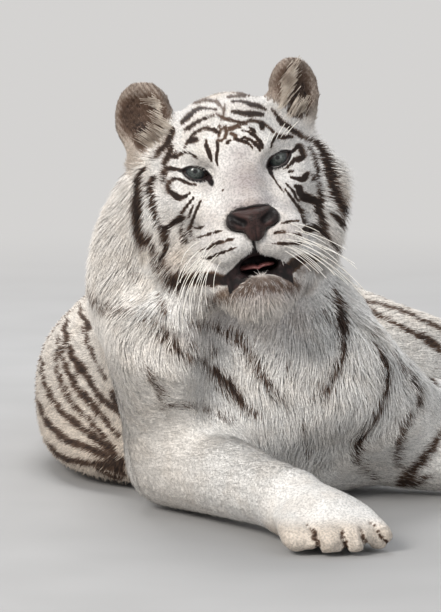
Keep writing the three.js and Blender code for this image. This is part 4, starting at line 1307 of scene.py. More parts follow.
def relief(tree, shader, fine, coarse, share, strength, distance):
    height = used(tree, GRAIN, {"Fine": fine, "Coarse": coarse, "Share": share})
    bump_node = add(tree, "ShaderNodeBump")
    bump_node.inputs["Strength"].default_value = strength
    bump_node.inputs["Distance"].default_value = distance
    tree.links.new(height, bump_node.inputs["Height"])
    tree.links.new(bump_node.outputs["Normal"], shader.inputs["Normal"])


def finish_piece(piece, material, smooth=True):
    piece.data.materials.append(material)
    if smooth:
        piece.data.shade_smooth()
    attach(piece, "root")


print("shader groups to place:", len(bpy.data.node_groups))


# %% [markdown]
# ## The finished skin
# The skin shows at the lids, lips, ears and between the tufts. Its points carry the same marks
# as the coat, plus a mask for bare dark skin, which is smoother and a little wet.

# %% Skin piece
skin_owner = owners_of(skin)
skin_mark = marks(skin, skin_normals, skin_owner)
skin_warm, skin_grey = tints(skin, skin_normals, skin_owner)
skin_bare = np.maximum(lip_share(skin), rim_share(skin))
skin_ear_tone_and_shade = ear_bowl_tone_and_shade(*face_chart(skin), facing_front(skin, skin_normals))
skin_ear_tone_and_shade *= owned_by(skin_owner, *EAR_NODES)


def skin_material():
    material, tree, shader = new_material("tiger skin", 0.75, Specular_IOR_Level=0.2)
    # Along 0.45 makes the skin a little darker than the hair's tips: painted shade under the coat.
    colour = coat_colour(tree, 0.45)
    # Dark brown in each ear's hollow: its inner skin, and painted shade.
    ear = speckled(tree, (0.10, 0.06, 0.045), (0.26, 0.18, 0.14), 60.0)
    colour = mixed(tree, attribute(tree, "ear"), colour, ear)
    lip = speckled(tree, (0.008, 0.006, 0.006), (0.026, 0.014, 0.014), 90.0, 0.4, 0.7)
    colour = mixed(tree, attribute(tree, "bare"), colour, lip)
    tree.links.new(colour, shader.inputs["Base Color"])
    rough = mapped(tree, attribute(tree, "bare"), 0.0, 1.0, 0.8, 0.6)
    tree.links.new(rough, shader.inputs["Roughness"])
    relief(tree, shader, 700.0, 180.0, 0.4, 0.5, 0.0012)
    return material


skin_piece = new_object("skin", skin, skin_faces)
for name, values in (("mark", skin_mark), ("warm", skin_warm), ("grey", skin_grey),
                     ("tone", np.full(len(skin), 0.5)), ("bare", skin_bare),
                     ("ear", skin_ear_tone_and_shade)):
    give(skin_piece, name, values)
finish_piece(skin_piece, skin_material())
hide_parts(*FLESH)
print("skin:", len(skin_faces), "triangles")


# %% [markdown]
# ## Eyes
# A big cat's eye has a pale iris, a small round pupil in daylight and a clear domed cornea. The
# ball is turned on a lathe about the line of sight: rings of points with their distance from
# that line kept as an attribute, which places the pupil, the iris and its dark outer edge.

# %% Eyeballs
GAZE = unit(np.array([-0.075, -1.0, 0.13]))
IRIS, PUPIL = 12.4, 3.0  # radius in mm
CORNEA, CORNEA_RISE = (5, 13.5), 1.6  # the dome falls between these radii, from this height


def revolve(centre, axis, profile, segments):
    """A closed surface: profile is rows of (distance from the axis, place along the axis)."""
    side = unit(np.cross(axis, [0, 0, 1.0]))
    up = np.cross(side, axis)
    turns = np.linspace(0, 2 * np.pi, segments, endpoint=False)
    circle = np.cos(turns)[:, None] * side + np.sin(turns)[:, None] * up
    points = [centre + profile[0][1] * axis]
    for radius, along in profile[1:-1]:
        points.extend(centre + along * axis + radius * circle)
    points.append(centre + profile[-1][1] * axis)
    faces, last = [], len(points) - 1
    for k in range(segments):
        n = (k + 1) % segments
        faces.append((0, 1 + k, 1 + n))
        for row in range(len(profile) - 3):
            a, b = 1 + row * segments, 1 + (row + 1) * segments
            faces += [(a + k, b + k, b + n), (a + k, b + n, a + n)]
        a = 1 + (len(profile) - 3) * segments
        faces.append((a + k, last, a + n))
    return np.array(points), np.array(faces)


def outward(points, faces):
    """Turns every face of a closed surface round if its volume comes out negative."""
    a, b, c = points[faces[:, 0]], points[faces[:, 1]], points[faces[:, 2]]
    return faces if (a * np.cross(b, c)).sum() > 0 else faces[:, ::-1]


def eyeball(side):
    profile = []
    for angle in np.radians(np.concatenate([np.linspace(0, 60, 31), np.linspace(66, 180, 20)])):
        radius = EYE_RADIUS * math.sin(angle)
        along = EYE_RADIUS * math.cos(angle)
        profile.append((radius, along + CORNEA_RISE * (1 - step(radius, *CORNEA))))
    profile[0], profile[-1] = (0, profile[0][1]), (0, profile[-1][1])
    centre = np.array([side * EYE_HALF, EYE_DEPTH, 0])
    points, faces = revolve(centre, GAZE, profile, 48)
    faces = outward(points - centre, faces)
    piece = new_object("eyeball_left" if side > 0 else "eyeball_right", from_head(points), faces)
    offset = points - centre
    along = offset @ GAZE
    away = np.linalg.norm(offset - along[:, None] * GAZE, axis=1)
    give(piece, "away", np.where(along > 0, away, 2 * EYE_RADIUS - away))
    return piece


def eye_material():
    material, tree, shader = new_material("tiger eye", 0.2, Coat_Weight=0.7, Coat_Roughness=0.03,
                                          Specular_IOR_Level=0.2)
    away = attribute(tree, "away")
    iris = speckled(tree, (0.024, 0.029, 0.027), (0.060, 0.069, 0.064), 420.0, detail=4.0)
    warm_heart = mapped(tree, away, PUPIL, PUPIL + 3.5, 0.25, 0.0)
    iris = mixed(tree, warm_heart, iris, (0.055, 0.057, 0.048, 1))
    iris = mixed(tree, mapped(tree, away, IRIS - 2.6, IRIS), iris, (0.02, 0.022, 0.025, 1))
    eye = mixed(tree, mapped(tree, away, PUPIL + 0.5, PUPIL - 0.5), iris, (0.003, 0.003, 0.004, 1))
    white = mixed(tree, mapped(tree, away, IRIS + 0.4, IRIS + 2.2), eye, (0.05, 0.035, 0.03, 1))
    tree.links.new(white, shader.inputs["Base Color"])
    return material


EYE_FINISH = eye_material()
for side, name in ((-1, "eye_right"), (1, "eye_left")):
    ball = eyeball(side)
    finish_piece(ball, EYE_FINISH)
    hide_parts(name)
    print(ball.name, len(ball.data.polygons), "triangles")


# %% [markdown]
# ## Rims of the lids
# The edge of each lid is a thin roll of wet black skin that lies on the ball. It is a tube swept
# once round the almond slit, closed on itself.

# %% Lid rims
RIM_RADIUS = 1.8
RIM_RISE = 0.7  # how far outside the ball the middle of the rim runs


def tube_loop(path, radius, sides=8):
    """A closed tube round a closed path."""
    count = len(path)
    ahead = unit(np.roll(path, -1, axis=0) - np.roll(path, 1, axis=0))
    outward_way = unit(path - path.mean(0))
    across = unit(np.cross(ahead, outward_way))
    out = np.cross(across, ahead)
    points, faces = [], []
    i = np.arange(count)
    j = (i + 1) % count
    for k in range(sides):
        turn = 2 * math.pi * k / sides
        points.append(path + radius * (math.cos(turn) * out + math.sin(turn) * across))
        n = (k + 1) % sides
        faces.append(np.stack([k * count + i, k * count + j, n * count + j], 1))
        faces.append(np.stack([k * count + i, n * count + j, n * count + i], 1))
    points, faces = np.vstack(points), np.vstack(faces)
    return points, outward(points - points.mean(0), faces)


def slit_path(side, steps=72):
    turn = np.linspace(0, 2 * np.pi, steps, endpoint=False)
    along = SLIT_HALF * np.cos(turn)
    height = np.where(np.sin(turn) > 0, SLIT_UP, SLIT_DOWN)
    up = np.sign(np.sin(turn)) * height * (1 - np.abs(np.cos(turn)) ** SLIT_POWER)
    x = along * math.cos(SLIT_TURN) - up * math.sin(SLIT_TURN)
    z = along * math.sin(SLIT_TURN) + up * math.cos(SLIT_TURN)
    h = np.stack([side * (EYE_HALF + SLIT_OFF + x), np.zeros(steps), z - SLIT_OFF], 1)
    reach = EYE_RADIUS + RIM_RISE
    flat = (h[:, 0] - side * EYE_HALF) ** 2 + h[:, 2] ** 2
    h[:, 1] = EYE_DEPTH - np.sqrt(np.maximum(reach ** 2 - flat, 4.0))
    return h


rim_material, tree, shader = speckled_material(
    "lid rim", 0.30, ((0.010, 0.007, 0.007), (0.035, 0.022, 0.020), 220.0),
    Coat_Weight=0.5, Coat_Roughness=0.15)
relief(tree, shader, 1500.0, 500.0, 0.5, 0.3, 0.0004)
for side in (-1, 1):
    points, faces = tube_loop(slit_path(side), RIM_RADIUS)
    rim = new_object("lid_rim_left" if side > 0 else "lid_rim_right", from_head(points), faces)
    finish_piece(rim, rim_material)
print("two lid rims")


# %% [markdown]
# ## Nose and tongue
# The nose pad is hairless, pebbled leather with two comma-shaped nostrils. A copy of its solid is
# remeshed finely and relaxed, and the nostrils are pressed in. The tongue is made the same way,
# with a groove down its middle.

# %% Nose pad
NOSTRILS = [((15, -70), (26, -64), 6.4), ((26, -64), (38, -53), 5.6)]


def from_segment(h, start, end):
    a, b = np.array(start, float), np.array(end, float)
    t = np.clip((h - a) @ (b - a) / ((b - a) @ (b - a)), 0, 1)
    return np.linalg.norm(h - a - t[:, None] * (b - a), axis=1)


NOSE_VOXEL = 0.0017
NOSTRIL_DEPTH, PHILTRUM_DEPTH = 9, 2.2


def make_nose():
    points, faces = remeshed(*node_mesh("nose"), NOSE_VOXEL)
    points = relaxed(points, edges_of(faces), 7)
    h = to_head(points)
    hollow = np.zeros(len(h))
    flat = np.stack([np.abs(h[:, 0]), h[:, 2]], 1)
    for start, end, radius in NOSTRILS:
        hollow = np.maximum(hollow, np.exp(-(from_segment(flat, start, end) / radius) ** 2))
    hollow *= h[:, 1] < -98
    h[:, 1] += NOSTRIL_DEPTH * hollow
    philtrum = np.exp(-(h[:, 0] / 2.6) ** 2) * step(-h[:, 2], 62, 84)
    h[:, 1] += PHILTRUM_DEPTH * philtrum
    piece = new_object("nose_pad", from_head(h), faces)
    # The hollow mask darkens the nostrils and the groove as painted shade in these recesses, and the tips
    # of the wings.
    wing = step(np.abs(h[:, 0]), 17, 30) * step(-h[:, 2], 54, 66)
    give(piece, "hollow", np.maximum(hollow, np.maximum(0.5 * philtrum, 0.55 * wing)))
    return piece


nose_material, tree, shader = new_material("nose leather", 0.5, Specular_IOR_Level=0.22)
pebble = add(tree, "ShaderNodeTexVoronoi")
pebble.inputs["Scale"].default_value = 420.0
tree.links.new(add(tree, "ShaderNodeTexCoord").outputs["Object"], pebble.inputs["Vector"])
tone = speckled(tree, (0.010, 0.006, 0.005), (0.042, 0.020, 0.017), 70.0, 0.38, 0.66, 3.0)
tone = mixed(tree, mapped(tree, pebble.outputs["Distance"], 0.2, 0.7, 0.0, 0.6), tone,
             (0.045, 0.022, 0.02, 1))
# Near black where the hollow mask is: painted shade in the nostrils and the groove, and the wings' tips.
tone = mixed(tree, mapped(tree, attribute(tree, "hollow"), 0.25, 0.65), tone,
             (0.006, 0.004, 0.004, 1))
tree.links.new(tone, shader.inputs["Base Color"])
pebble_bump = add(tree, "ShaderNodeBump", invert=True)
pebble_bump.inputs["Strength"].default_value = 0.5
pebble_bump.inputs["Distance"].default_value = 0.0008
tree.links.new(pebble.outputs["Distance"], pebble_bump.inputs["Height"])
tree.links.new(pebble_bump.outputs["Normal"], shader.inputs["Normal"])
nose_piece = make_nose()
finish_piece(nose_piece, nose_material)
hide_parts("nose")
print("nose pad:", len(nose_piece.data.polygons), "triangles")


# %% Tongue
TONGUE_VOXEL = 0.0025
TONGUE_GROOVE = 2.5


def make_tongue():
    points, faces = remeshed(*node_mesh("tongue"), TONGUE_VOXEL)
    points = relaxed(points, edges_of(faces), 10)
    h = to_head(points)
    h[:, 2] -= TONGUE_GROOVE * np.exp(-(h[:, 0] / 4.0) ** 2) * (h[:, 1] < -40)
    return new_object("tongue_piece", from_head(h), faces)


tongue_material, tree, shader = speckled_material(
    "tongue", 0.35, ((0.23, 0.07, 0.065), (0.36, 0.14, 0.125), 160.0, 0.35, 0.65, 3.0),
    Coat_Weight=0.6, Coat_Roughness=0.2)
relief(tree, shader, 1400.0, 500.0, 0.4, 0.6, 0.0008)
tongue_piece = make_tongue()
finish_piece(tongue_piece, tongue_material)
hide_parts("tongue")
print("tongue:", len(tongue_piece.data.polygons), "triangles")


# %% [markdown]
# ## The lie of the coat
# Hair leaves the skin in a direction of its own in each part: back from the nose over the face,
# down the throat and chest, back along the trunk, down each leg towards the toes. A raw
# direction is given to each point of the skin, then relaxed over its neighbours so that one part
# flows into the next. Length and lift are fields on the skin too.

# %% Direction on the skin
def towards(first, second):
    return unit(middle(second) - middle(first))


LIE = {"neck": (0, 0.30, -1), "chest": (0, -0.05, -1), "ribs": (0, 0.9, -0.5),
       "belly": (0, 0.95, -0.35), "hips": (0.1, 0.95, -0.4)}
for upper, lower, paw in LIMBS.values():
    LIE[upper] = towards(upper, lower)
    LIE[lower] = LIE[paw] = towards(lower, paw)
for before, name in zip(("hips", *TAIL_NODES), TAIL_NODES):
    LIE[name] = towards(before, name)
for name in EAR_NODES:
    LIE[name] = HEAD_Z + 0.2 * HEAD_Y
FACE_CENTRE = (0, -150, -72)  # the hair of the face points away from here


def lie_of(points, owner):
    """A raw direction for the hair at each place: by chart on the head, by node on the body."""
    h = to_head(points)
    side = np.sign(h[:, 0])
    same = np.ones(len(h))
    lie = unit(h - np.array(FACE_CENTRE)) + [0, 0.25, 0]
    ruff = ruff_share(h)[:, None]
    lie = lie * (1 - ruff) + np.stack([0.62 * side, 0.15 * same, -0.78 * same], 1) * ruff
    low = (step(-h[:, 2], 146, 168) * step(-h[:, 1], -60, -20))[:, None]
    lie = lie * (1 - low) + np.stack([0.006 * h[:, 0], -0.12 * same, -same], 1) * low
    lie = unit(lie) @ HEAD
    for name, way in LIE.items():
        lie[owned_by(owner, name)] = unit(np.array(way, float))
    return lie


def laid_flat(lie):
    return lie - (lie * skin_normals).sum(1, keepdims=True) * skin_normals


print("hair directions for", len(LIE), "nodes of the body")


# %% Length in mm and lift in degrees on the skin
LENGTH = {"head": 7, "muzzle": 4.5, "jaw": 10, "ear": 6, "neck": 32, "chest": 36, "ribs": 15,
          "belly": 20, "hips": 17, "foreleg": 11, "thigh": 16, "shank": 12, "forepaw": 6,
          "hindpaw": 6, "tail": 16}
LIFT = {"head": 16, "muzzle": 13, "jaw": 24, "ear": 18, "neck": 14, "chest": 14, "ribs": 14,
        "belly": 16, "hips": 14, "foreleg": 14, "thigh": 14, "shank": 14, "forepaw": 12,
        "hindpaw": 12, "tail": 17}
skin_h = to_head(skin)
on_head = owned_by(skin_owner, *HEAD_NODES)
ruff = ruff_share(skin_h) * on_head
behind = step(skin_h[:, 1], 0, 90)
length = by_kind(LENGTH, skin_owner)
length = np.where(on_head, length + 7 * behind + 30 * ruff, length)
chin_share = step(-skin_h[:, 2], 168, 186) * on_head
length += 18 * chin_share * (1 - ruff)
front_u, front_v = front_chart(skin)
face_u, face_v = face_chart(skin)
fringe = np.exp(-((face_v - line_at(LIP_TOP, face_u) - 3) / 6) ** 2) * on_head
fringe *= np.abs(face_u - MOUTH_MIDDLE) < 62
length += 5 * fringe * (skin_h[:, 1] < -30)
silky = step(front_u, 0, 7) * step(-front_u, -17, -12) * step(-front_v, 22, 32)
length += 12 * silky * owned_by(skin_owner, "chest")
lift = by_kind(LIFT, skin_owner) + 3 * ruff * on_head + 16 * chin_share
skin_lie = relaxed(unit(laid_flat(lie_of(skin, skin_owner))), skin_edges, 14)
skin_lie = unit(laid_flat(skin_lie))
near_head = step(-np.linalg.norm(skin_h - [0, 20, -60], axis=1), -240, -190)
skin_length = relaxed(length, skin_edges, 30)[:, 0] * near_head
skin_length += relaxed(length, skin_edges, 150)[:, 0] * (1 - near_head)
skin_lift = relaxed(lift, skin_edges, 30)[:, 0]
print("hair from", skin_length.min().round(1), "to", skin_length.max().round(1), "mm long")


# %% [markdown]
# ## Tufts
# A tuft is a thin closed spike with three sides, set a little into the skin and bent along it.
# Its normals lean towards the skin's own, so that the coat takes light as one soft surface.
# Short hair needs one straight length of four triangles; the long hair of the ruff, throat and
# chest has two lengths and bends. All tufts of a piece are made at once from arrays.

# %% Tuft maker
def scattered(faces_chosen, weight, count, random):
    """Root places on the skin: a face, and shares of its three corners."""
    corners = skin[skin_faces[faces_chosen]]
    across = np.cross(corners[:, 1] - corners[:, 0], corners[:, 2] - corners[:, 0])
    area = np.linalg.norm(across, axis=1) * weight[skin_faces[faces_chosen]].mean(1)
    total = np.cumsum(area)
    spots = (np.arange(count) + random.random(count)) / count * total[-1]
    picked = faces_chosen[np.searchsorted(total, spots).clip(0, len(total) - 1)]
    r, s = np.sqrt(random.random(count)), random.random(count)
    return picked, np.stack([1 - r, r * (1 - s), r * s], 1)


def at_roots(values, picked, shares):
    """The skin's values at the roots."""
    values = values.reshape(len(skin), -1)
    return (values[skin_faces[picked]] * shares[:, :, None]).sum(1)


def turned(vectors, axes, angle):
    """Turns each vector about an axis that is square to it, by an angle in radians."""
    c, s = np.cos(angle)[:, None], np.sin(angle)[:, None]
    return c * vectors + s * np.cross(axes, vectors)


def drift(points, size, seed):
    """A slow, smooth random number for each place, about -1 to 1: hair leans in locks."""
    random = np.random.default_rng(seed)
    total = np.zeros(len(points))
    for _ in range(6):
        way = unit(random.normal(size=3)) / (size * random.uniform(0.6, 1.5))
        total += np.sin(points @ way + random.uniform(0, 6.3))
    return total / 2.6


def wrapped(points):
    """Where each place lies on the skin unrolled round the piece's own long axis, 0 to 1."""
    centre = points.mean(0)
    axes = np.linalg.svd(points[:: max(1, len(points) // 4000)] - centre, full_matrices=False)[2]
    local = (points - centre) @ axes.T
    round_it = np.arctan2(local[:, 2], local[:, 1]) / (2 * np.pi) + 0.5
    along = (local[:, 0] - local[:, 0].min()) / np.ptp(local[:, 0])
    return 0.01 + 0.98 * np.stack([round_it, along], 1)


def tuft_pattern(segments):
    """The faces of one tuft, and how far along it and where in a flat patch its points lie."""
    tip = 3 * segments
    faces = [(2, 1, 0)]
    for a in range(0, tip - 3, 3):
        for i in range(3):
            j = (i + 1) % 3
            faces += [(a + i, a + j, a + 3 + j), (a + i, a + 3 + j, a + 3 + i)]
    faces += [(tip - 3 + i, tip - 3 + (i + 1) % 3, tip) for i in range(3)]
    along = np.append(np.repeat(np.arange(segments) / segments, 3), 1.0)
    across = np.append(np.tile([0.5, 0.0, -0.5], segments), 0.0) * (1 - along)
    upwards = np.append(np.tile([0.0, 0.25, 0.0], segments), 0.0) + along - 0.5
    return np.array(faces), along, np.stack([across, upwards], 1)


ROOT_DEPTH = 0.0008


def tuft_shape(root, lie, normal, angle, curve, size, half, segments):
    """The points of all tufts, three round each level and one at the tip, and their outward ways."""
    points, ways, spots = [], [], root - ROOT_DEPTH * normal
    for level in range(segments + 1):
        t = level / segments
        tilt = angle * (1 - 0.75 * t)
        way = np.cos(tilt)[:, None] * lie + np.sin(tilt)[:, None] * normal
        way = turned(way, normal, curve * t)
        side = unit(np.cross(normal, way))
        over = np.cross(way, side)
        thick = (half * (1 - t ** 1.6))[:, None]
        if level < segments:
            points += [spots + side * thick, spots + over * thick * 0.8, spots - side * thick]
            ways += [side, over, -side]
            spots = spots + way * (size * MM / segments)[:, None]
    return np.stack(points + [spots], 1), np.stack(ways + [over], 1)


print("triangles in a tuft:", [len(tuft_pattern(segments)[0]) for segments in (1, 2)])


# %% Make a piece of coat
PATCH = 0.003  # the size of a tuft's patch in the map, in shares of the map
SKIN_SHARE = 1.8


def tufts(name, zone, count, segments, width, scatter, seed, weight, curl, spread, feather, lock):
    """One piece of coat; feather is how far, in mm, a tuft may carry its marking from its place."""
    random = np.random.default_rng(seed)
    picked, shares = scattered(np.nonzero(zone[skin_faces].all(1))[0], weight, count, random)
    root = at_roots(skin, picked, shares)
    normal = unit(at_roots(skin_normals, picked, shares))
    lie = at_roots(skin_lie, picked, shares)
    lie = unit(lie - (lie * normal).sum(1, keepdims=True) * normal)
    size = at_roots(skin_length, picked, shares)[:, 0]
    size = size * random.uniform(1 - scatter, 1 + scatter, count)
    angle = np.radians(at_roots(skin_lift, picked, shares)[:, 0] * random.uniform(0.5, 1.4, count))
    owner = skin_owner[skin_faces[picked, 0]]
    lean = np.radians(spread) * random.normal(size=count) + curl * drift(root, 0.012, seed + 1)
    lie = turned(lie, normal, lean)
    # The marking is read at each level of a tuft, so a stripe's edge may fall within it.
    levels = (np.arange(segments + 1) + 0.15) / (segments + 0.45)
    painted = root + feather * MM * random.normal(size=(count, 3))
    mark = np.stack([marks(painted + t * size[:, None] * MM * lie, normal, owner) for t in levels], 1)
    mark = np.repeat(mark, [3] * segments + [1], axis=1)
    locks = drift(root, lock * MM, seed + 3)
    broken = 0.5 * locks + 0.7 * (random.random(count) - 0.5)
    mark *= np.clip(1 + min(1.0, feather / 3) * broken, 0.1, 1.15)[:, None]
    warm, grey = tints(root + 0.45 * size[:, None] * MM * lie, normal, owner)
    half = width * random.uniform(0.75, 1.25, count) * MM / 2
    curve = random.normal(size=count) * 0.12 + curl * drift(root, 0.018, seed + 2)
    points, ways = tuft_shape(root, lie, normal, angle, curve, size, half, segments)
    pattern, along, patch = tuft_pattern(segments)
    faces = pattern[None] + len(along) * np.arange(count)[:, None, None]
    faces = faces.reshape(-1, 3)
    piece = new_object(name, points.reshape(-1, 3), faces)
    piece.data.shade_smooth()
    soft_normals = unit(ways + SKIN_SHARE * normal[:, None, :]).reshape(-1, 3)
    piece.data.normals_split_custom_set_from_vertices(soft_normals.tolist())
    give(piece, "along", np.tile(along, count))
    give(piece, "mark", mark.ravel())
    tone = np.clip(0.5 + 0.34 * locks + 0.36 * (random.random(count) - 0.5), 0, 1)
    for label, values in (("warm", warm), ("grey", grey), ("tone", tone)):
        give(piece, label, np.repeat(values, len(along)))
    place = wrapped(root)[:, None, :] + PATCH * patch[None]
    layer = piece.data.uv_layers.new(name="OFBake")
    layer.data.foreach_set("uv", place.reshape(-1, 2)[faces].astype(np.float32).ravel())
    return piece


def coat_material():
    material, tree, shader = new_material("tiger coat", 0.66, Specular_IOR_Level=0.22)
    colour = coat_colour(tree, attribute(tree, "along"))
    tree.links.new(colour, shader.inputs["Base Color"])
    return material


print("a tuft's patch is", PATCH, "of the map")


# %% Zones of the skin
DENSE = 1.0
bare = skin_bare > 0.35
haired = ~bare & on_head
is_ruff = on_head & (ruff > 0.25)
is_chin = on_head & (skin_h[:, 2] < -158) & (skin_h[:, 1] < 40)
rest_of_head = haired & ~is_ruff & ~is_chin
RIGHT_FORELEG, LEFT_FORELEG, RIGHT_HINDLEG, LEFT_HINDLEG = LIMBS.values()
ZONES = {
    "face": rest_of_head & (skin_h[:, 1] < 45),
    "scalp": rest_of_head & (skin_h[:, 1] >= 45) | owned_by(skin_owner, *EAR_NODES),
    "ruff": haired & is_ruff, "chin": haired & is_chin,
    "neck": owned_by(skin_owner, "neck"), "chest": owned_by(skin_owner, "chest"),
    "trunk": owned_by(skin_owner, "ribs", "belly"), "hips": owned_by(skin_owner, "hips"),
    "shoulders": owned_by(skin_owner, RIGHT_FORELEG[0], LEFT_FORELEG[0]),
    "forelegs": owned_by(skin_owner, *RIGHT_FORELEG[1:], *LEFT_FORELEG[1:]),
    "hindlegs": owned_by(skin_owner, *RIGHT_HINDLEG, *LEFT_HINDLEG),
    "tail": owned_by(skin_owner, *TAIL_NODES),
}


def widened(zone):
    """Takes in the neighbours, so that the faces on a border belong to one zone or the other."""
    a, b = skin_edges.T
    wide = zone.copy()
    wide[a[zone[b]]] = True
    wide[b[zone[a]]] = True
    return wide


# The coat is denser where it is seen at close range and thinner underneath.
COAT_BEHIND, COAT_AHEAD = 0.35, 1.4
underneath = step(-skin_normals[:, 2], 0.4, 0.8) * step(0.12 - skin[:, 2], 0, 0.1)
coat_weight = COAT_BEHIND + COAT_AHEAD * step(facing_front(skin, skin_normals), -0.2, 0.3)
coat_weight *= 1 - 0.8 * underneath
print("zones:", {zone: int(rows.sum()) for zone, rows in ZONES.items()})


# %% Lay the coat
COAT = {  # zone: tufts, segments, width, scatter, curl, spread, feather and lock in mm
    "face": (49500, 1, 1.1, 0.3, 0.12, 8, 0.5, 0.8),
    "scalp": (26000, 1, 1.6, 0.3, 0.15, 9, 0.8, 1.0),
    "ruff": (18500, 2, 1.5, 0.35, 0.22, 7, 0.8, 2.2),
    "chin": (6500, 2, 1.4, 0.4, 0.4, 13, 3.0, 1.6),
    "neck": (15000, 2, 2.0, 0.4, 0.28, 9, 3.2, 4.0),
    "chest": (19000, 2, 1.9, 0.4, 0.32, 9, 3.2, 4.0),
    "trunk": (38000, 1, 2.4, 0.3, 0.18, 10, 1.0, 2.4),
    "hips": (16000, 1, 3.0, 0.3, 0.18, 10, 1.5, 2.8),
    "shoulders": (29000, 1, 1.8, 0.3, 0.18, 11, 2.4, 2.2),
    "forelegs": (38000, 1, 1.4, 0.3, 0.18, 11, 1.0, 1.8),
    "hindlegs": (22000, 1, 2.6, 0.3, 0.18, 11, 1.5, 2.4),
    "tail": (10000, 1, 2.6, 0.3, 0.15, 11, 1.5, 2.4),
}
COAT_FINISH = coat_material()
coat_total = 0
for index, (zone, (count, segments, width, scatter, *loose)) in enumerate(COAT.items()):
    piece = tufts("coat_" + zone, widened(ZONES[zone]) & ~bare, int(count * DENSE), segments, width,
                  scatter, 100 + 7 * index, coat_weight, *loose)
    finish_piece(piece, COAT_FINISH, smooth=False)
    coat_total += len(piece.data.polygons)
    print(piece.name, len(piece.data.polygons), "triangles")
print("coat:", coat_total, "triangles")


# %% [markdown]
# ## Whiskers and the hairs of the ears
# Whiskers are stiff, pale and taper to nothing. They, the few long hairs over the eyes and the
# hairs across each ear follow paths that start on the skin, so Geometry Nodes turn the paths
# into tapered tubes: mesh lines become curves, their radius falls along them, and a small circle
# is swept along each.

# %% Paths that start on the skin
skin_tree = BVHTree.FromPolygons(skin.tolist(), skin_faces.tolist())
INWARDS = np.array([FACE_LEAN[0], 1.0, FACE_LEAN[1]])  # the face chart's line of sight
RAY_START = 400
HAIR_STEPS = np.linspace(0, 1, 14)[:, None]


def on_skin(u, v):
    """The place on the skin, in the head's millimetres, at that place of the face chart."""
    start = from_head(np.array([u, 0, v]) - RAY_START * INWARDS)
    hit = skin_tree.ray_cast(Vector(start), Vector(unit(INWARDS) @ HEAD))
    return None if hit[0] is None else to_head(np.array(hit[0]))


def hair_path(root, way, bend, length):
    """Points along one hair, straight at its root and bent more and more towards its tip."""
    way, bend = np.array(way, float), np.array(bend, float)
    return root + length * (HAIR_STEPS * way + HAIR_STEPS ** 2 * bend)


WHISKER_ROWS = (  # height, number, length, share outwards
    (-95, 2, 46, 1.0), (-106, 4, 66, 0.95), (-116, 5, 84, 0.9), (-125, 6, 96, 0.8),
    (-132, 5, 84, 0.7))
BED_START, BED_WIDTH = 44, 34
DROOP = {-1: 0.30, 1: 0.12}  # how far the whiskers of each side hang at their tips
EAR_BEDS = (  # start and end of the line of roots, way, bend, number
    ((-88, 62), (-82, 114), (-0.74, -0.10, 0.42), (-0.12, 0.05, 0.18), 130),
    ((-122, 48), (-92, 62), (-0.52, -0.12, 0.66), (-0.20, 0.05, 0.05), 60),
    ((-100, 114), (-84, 100), (-0.66, -0.08, 0.30), (-0.15, 0.05, -0.05), 50),
    ((76, 70), (84, 114), (0.62, -0.10, 0.55), (0.12, 0.05, 0.12), 130),
    ((84, 60), (106, 60), (0.42, -0.12, 0.72), (0.12, 0.05, 0.05), 60),
    ((84, 108), (98, 124), (0.50, -0.08, 0.45), (0.10, 0.05, 0.05), 40),
)


def whisker_paths():
    """The whiskers in rows on each side, and five long hairs over each eye."""
    random = np.random.default_rng(3)
    paths = []
    for side, droop in DROOP.items():
        for v, count, length, out in WHISKER_ROWS:
            for k in range(count):
                share = (k + random.uniform(0.1, 0.7)) / count
                u = side * (BED_START + BED_WIDTH * share) + MOUTH_MIDDLE
                root = on_skin(u, v - 5 * share + random.normal() * 1.5)
                if root is None:
                    continue
                size = length * (0.6 + 0.5 * share) * random.uniform(0.75, 1.3)
                way = (side * out, -0.30, -0.62 * (1.3 - out) - 0.16 + random.normal() * 0.06)
                bend = (-side * droop + random.normal() * 0.05, 0.25,
                        -1.1 * droop - 0.05 + random.normal() * 0.06)
                paths.append(hair_path(root + [0, 1.5, 0], way, bend, size))
        for k in range(5):
            root = on_skin(side * (46 + 7 * k) + 2, 24 + 1.5 * k)
            if root is not None:
                way = (side * (0.25 + 0.1 * k), -0.45, 0.75 + random.normal() * 0.08)
                paths.append(hair_path(root, way, (side * 0.1, 0.3, -0.1), random.uniform(18, 30)))
    return paths


def ear_paths():
    random = np.random.default_rng(8)
    paths = []
    for start, end, way, bend, count in EAR_BEDS:
        for _ in range(count):
            share = random.random()
            u = start[0] + (end[0] - start[0]) * share + random.normal() * 3
            v = start[1] + (end[1] - start[1]) * share + random.normal() * 3
            root = on_skin(u, v)
            if root is None or root[1] < 20 and abs(u) < 80:
                continue
            lean = random.normal(size=3) * [0.07, 0.03, 0.07]
            paths.append(hair_path(root, np.array(way) + lean, bend, random.uniform(14, 34)))
    return paths


print("beds of ear hair:", len(EAR_BEDS))


# %% Tapered hairs by Geometry Nodes
HAIR_THICKNESS = 0.0009


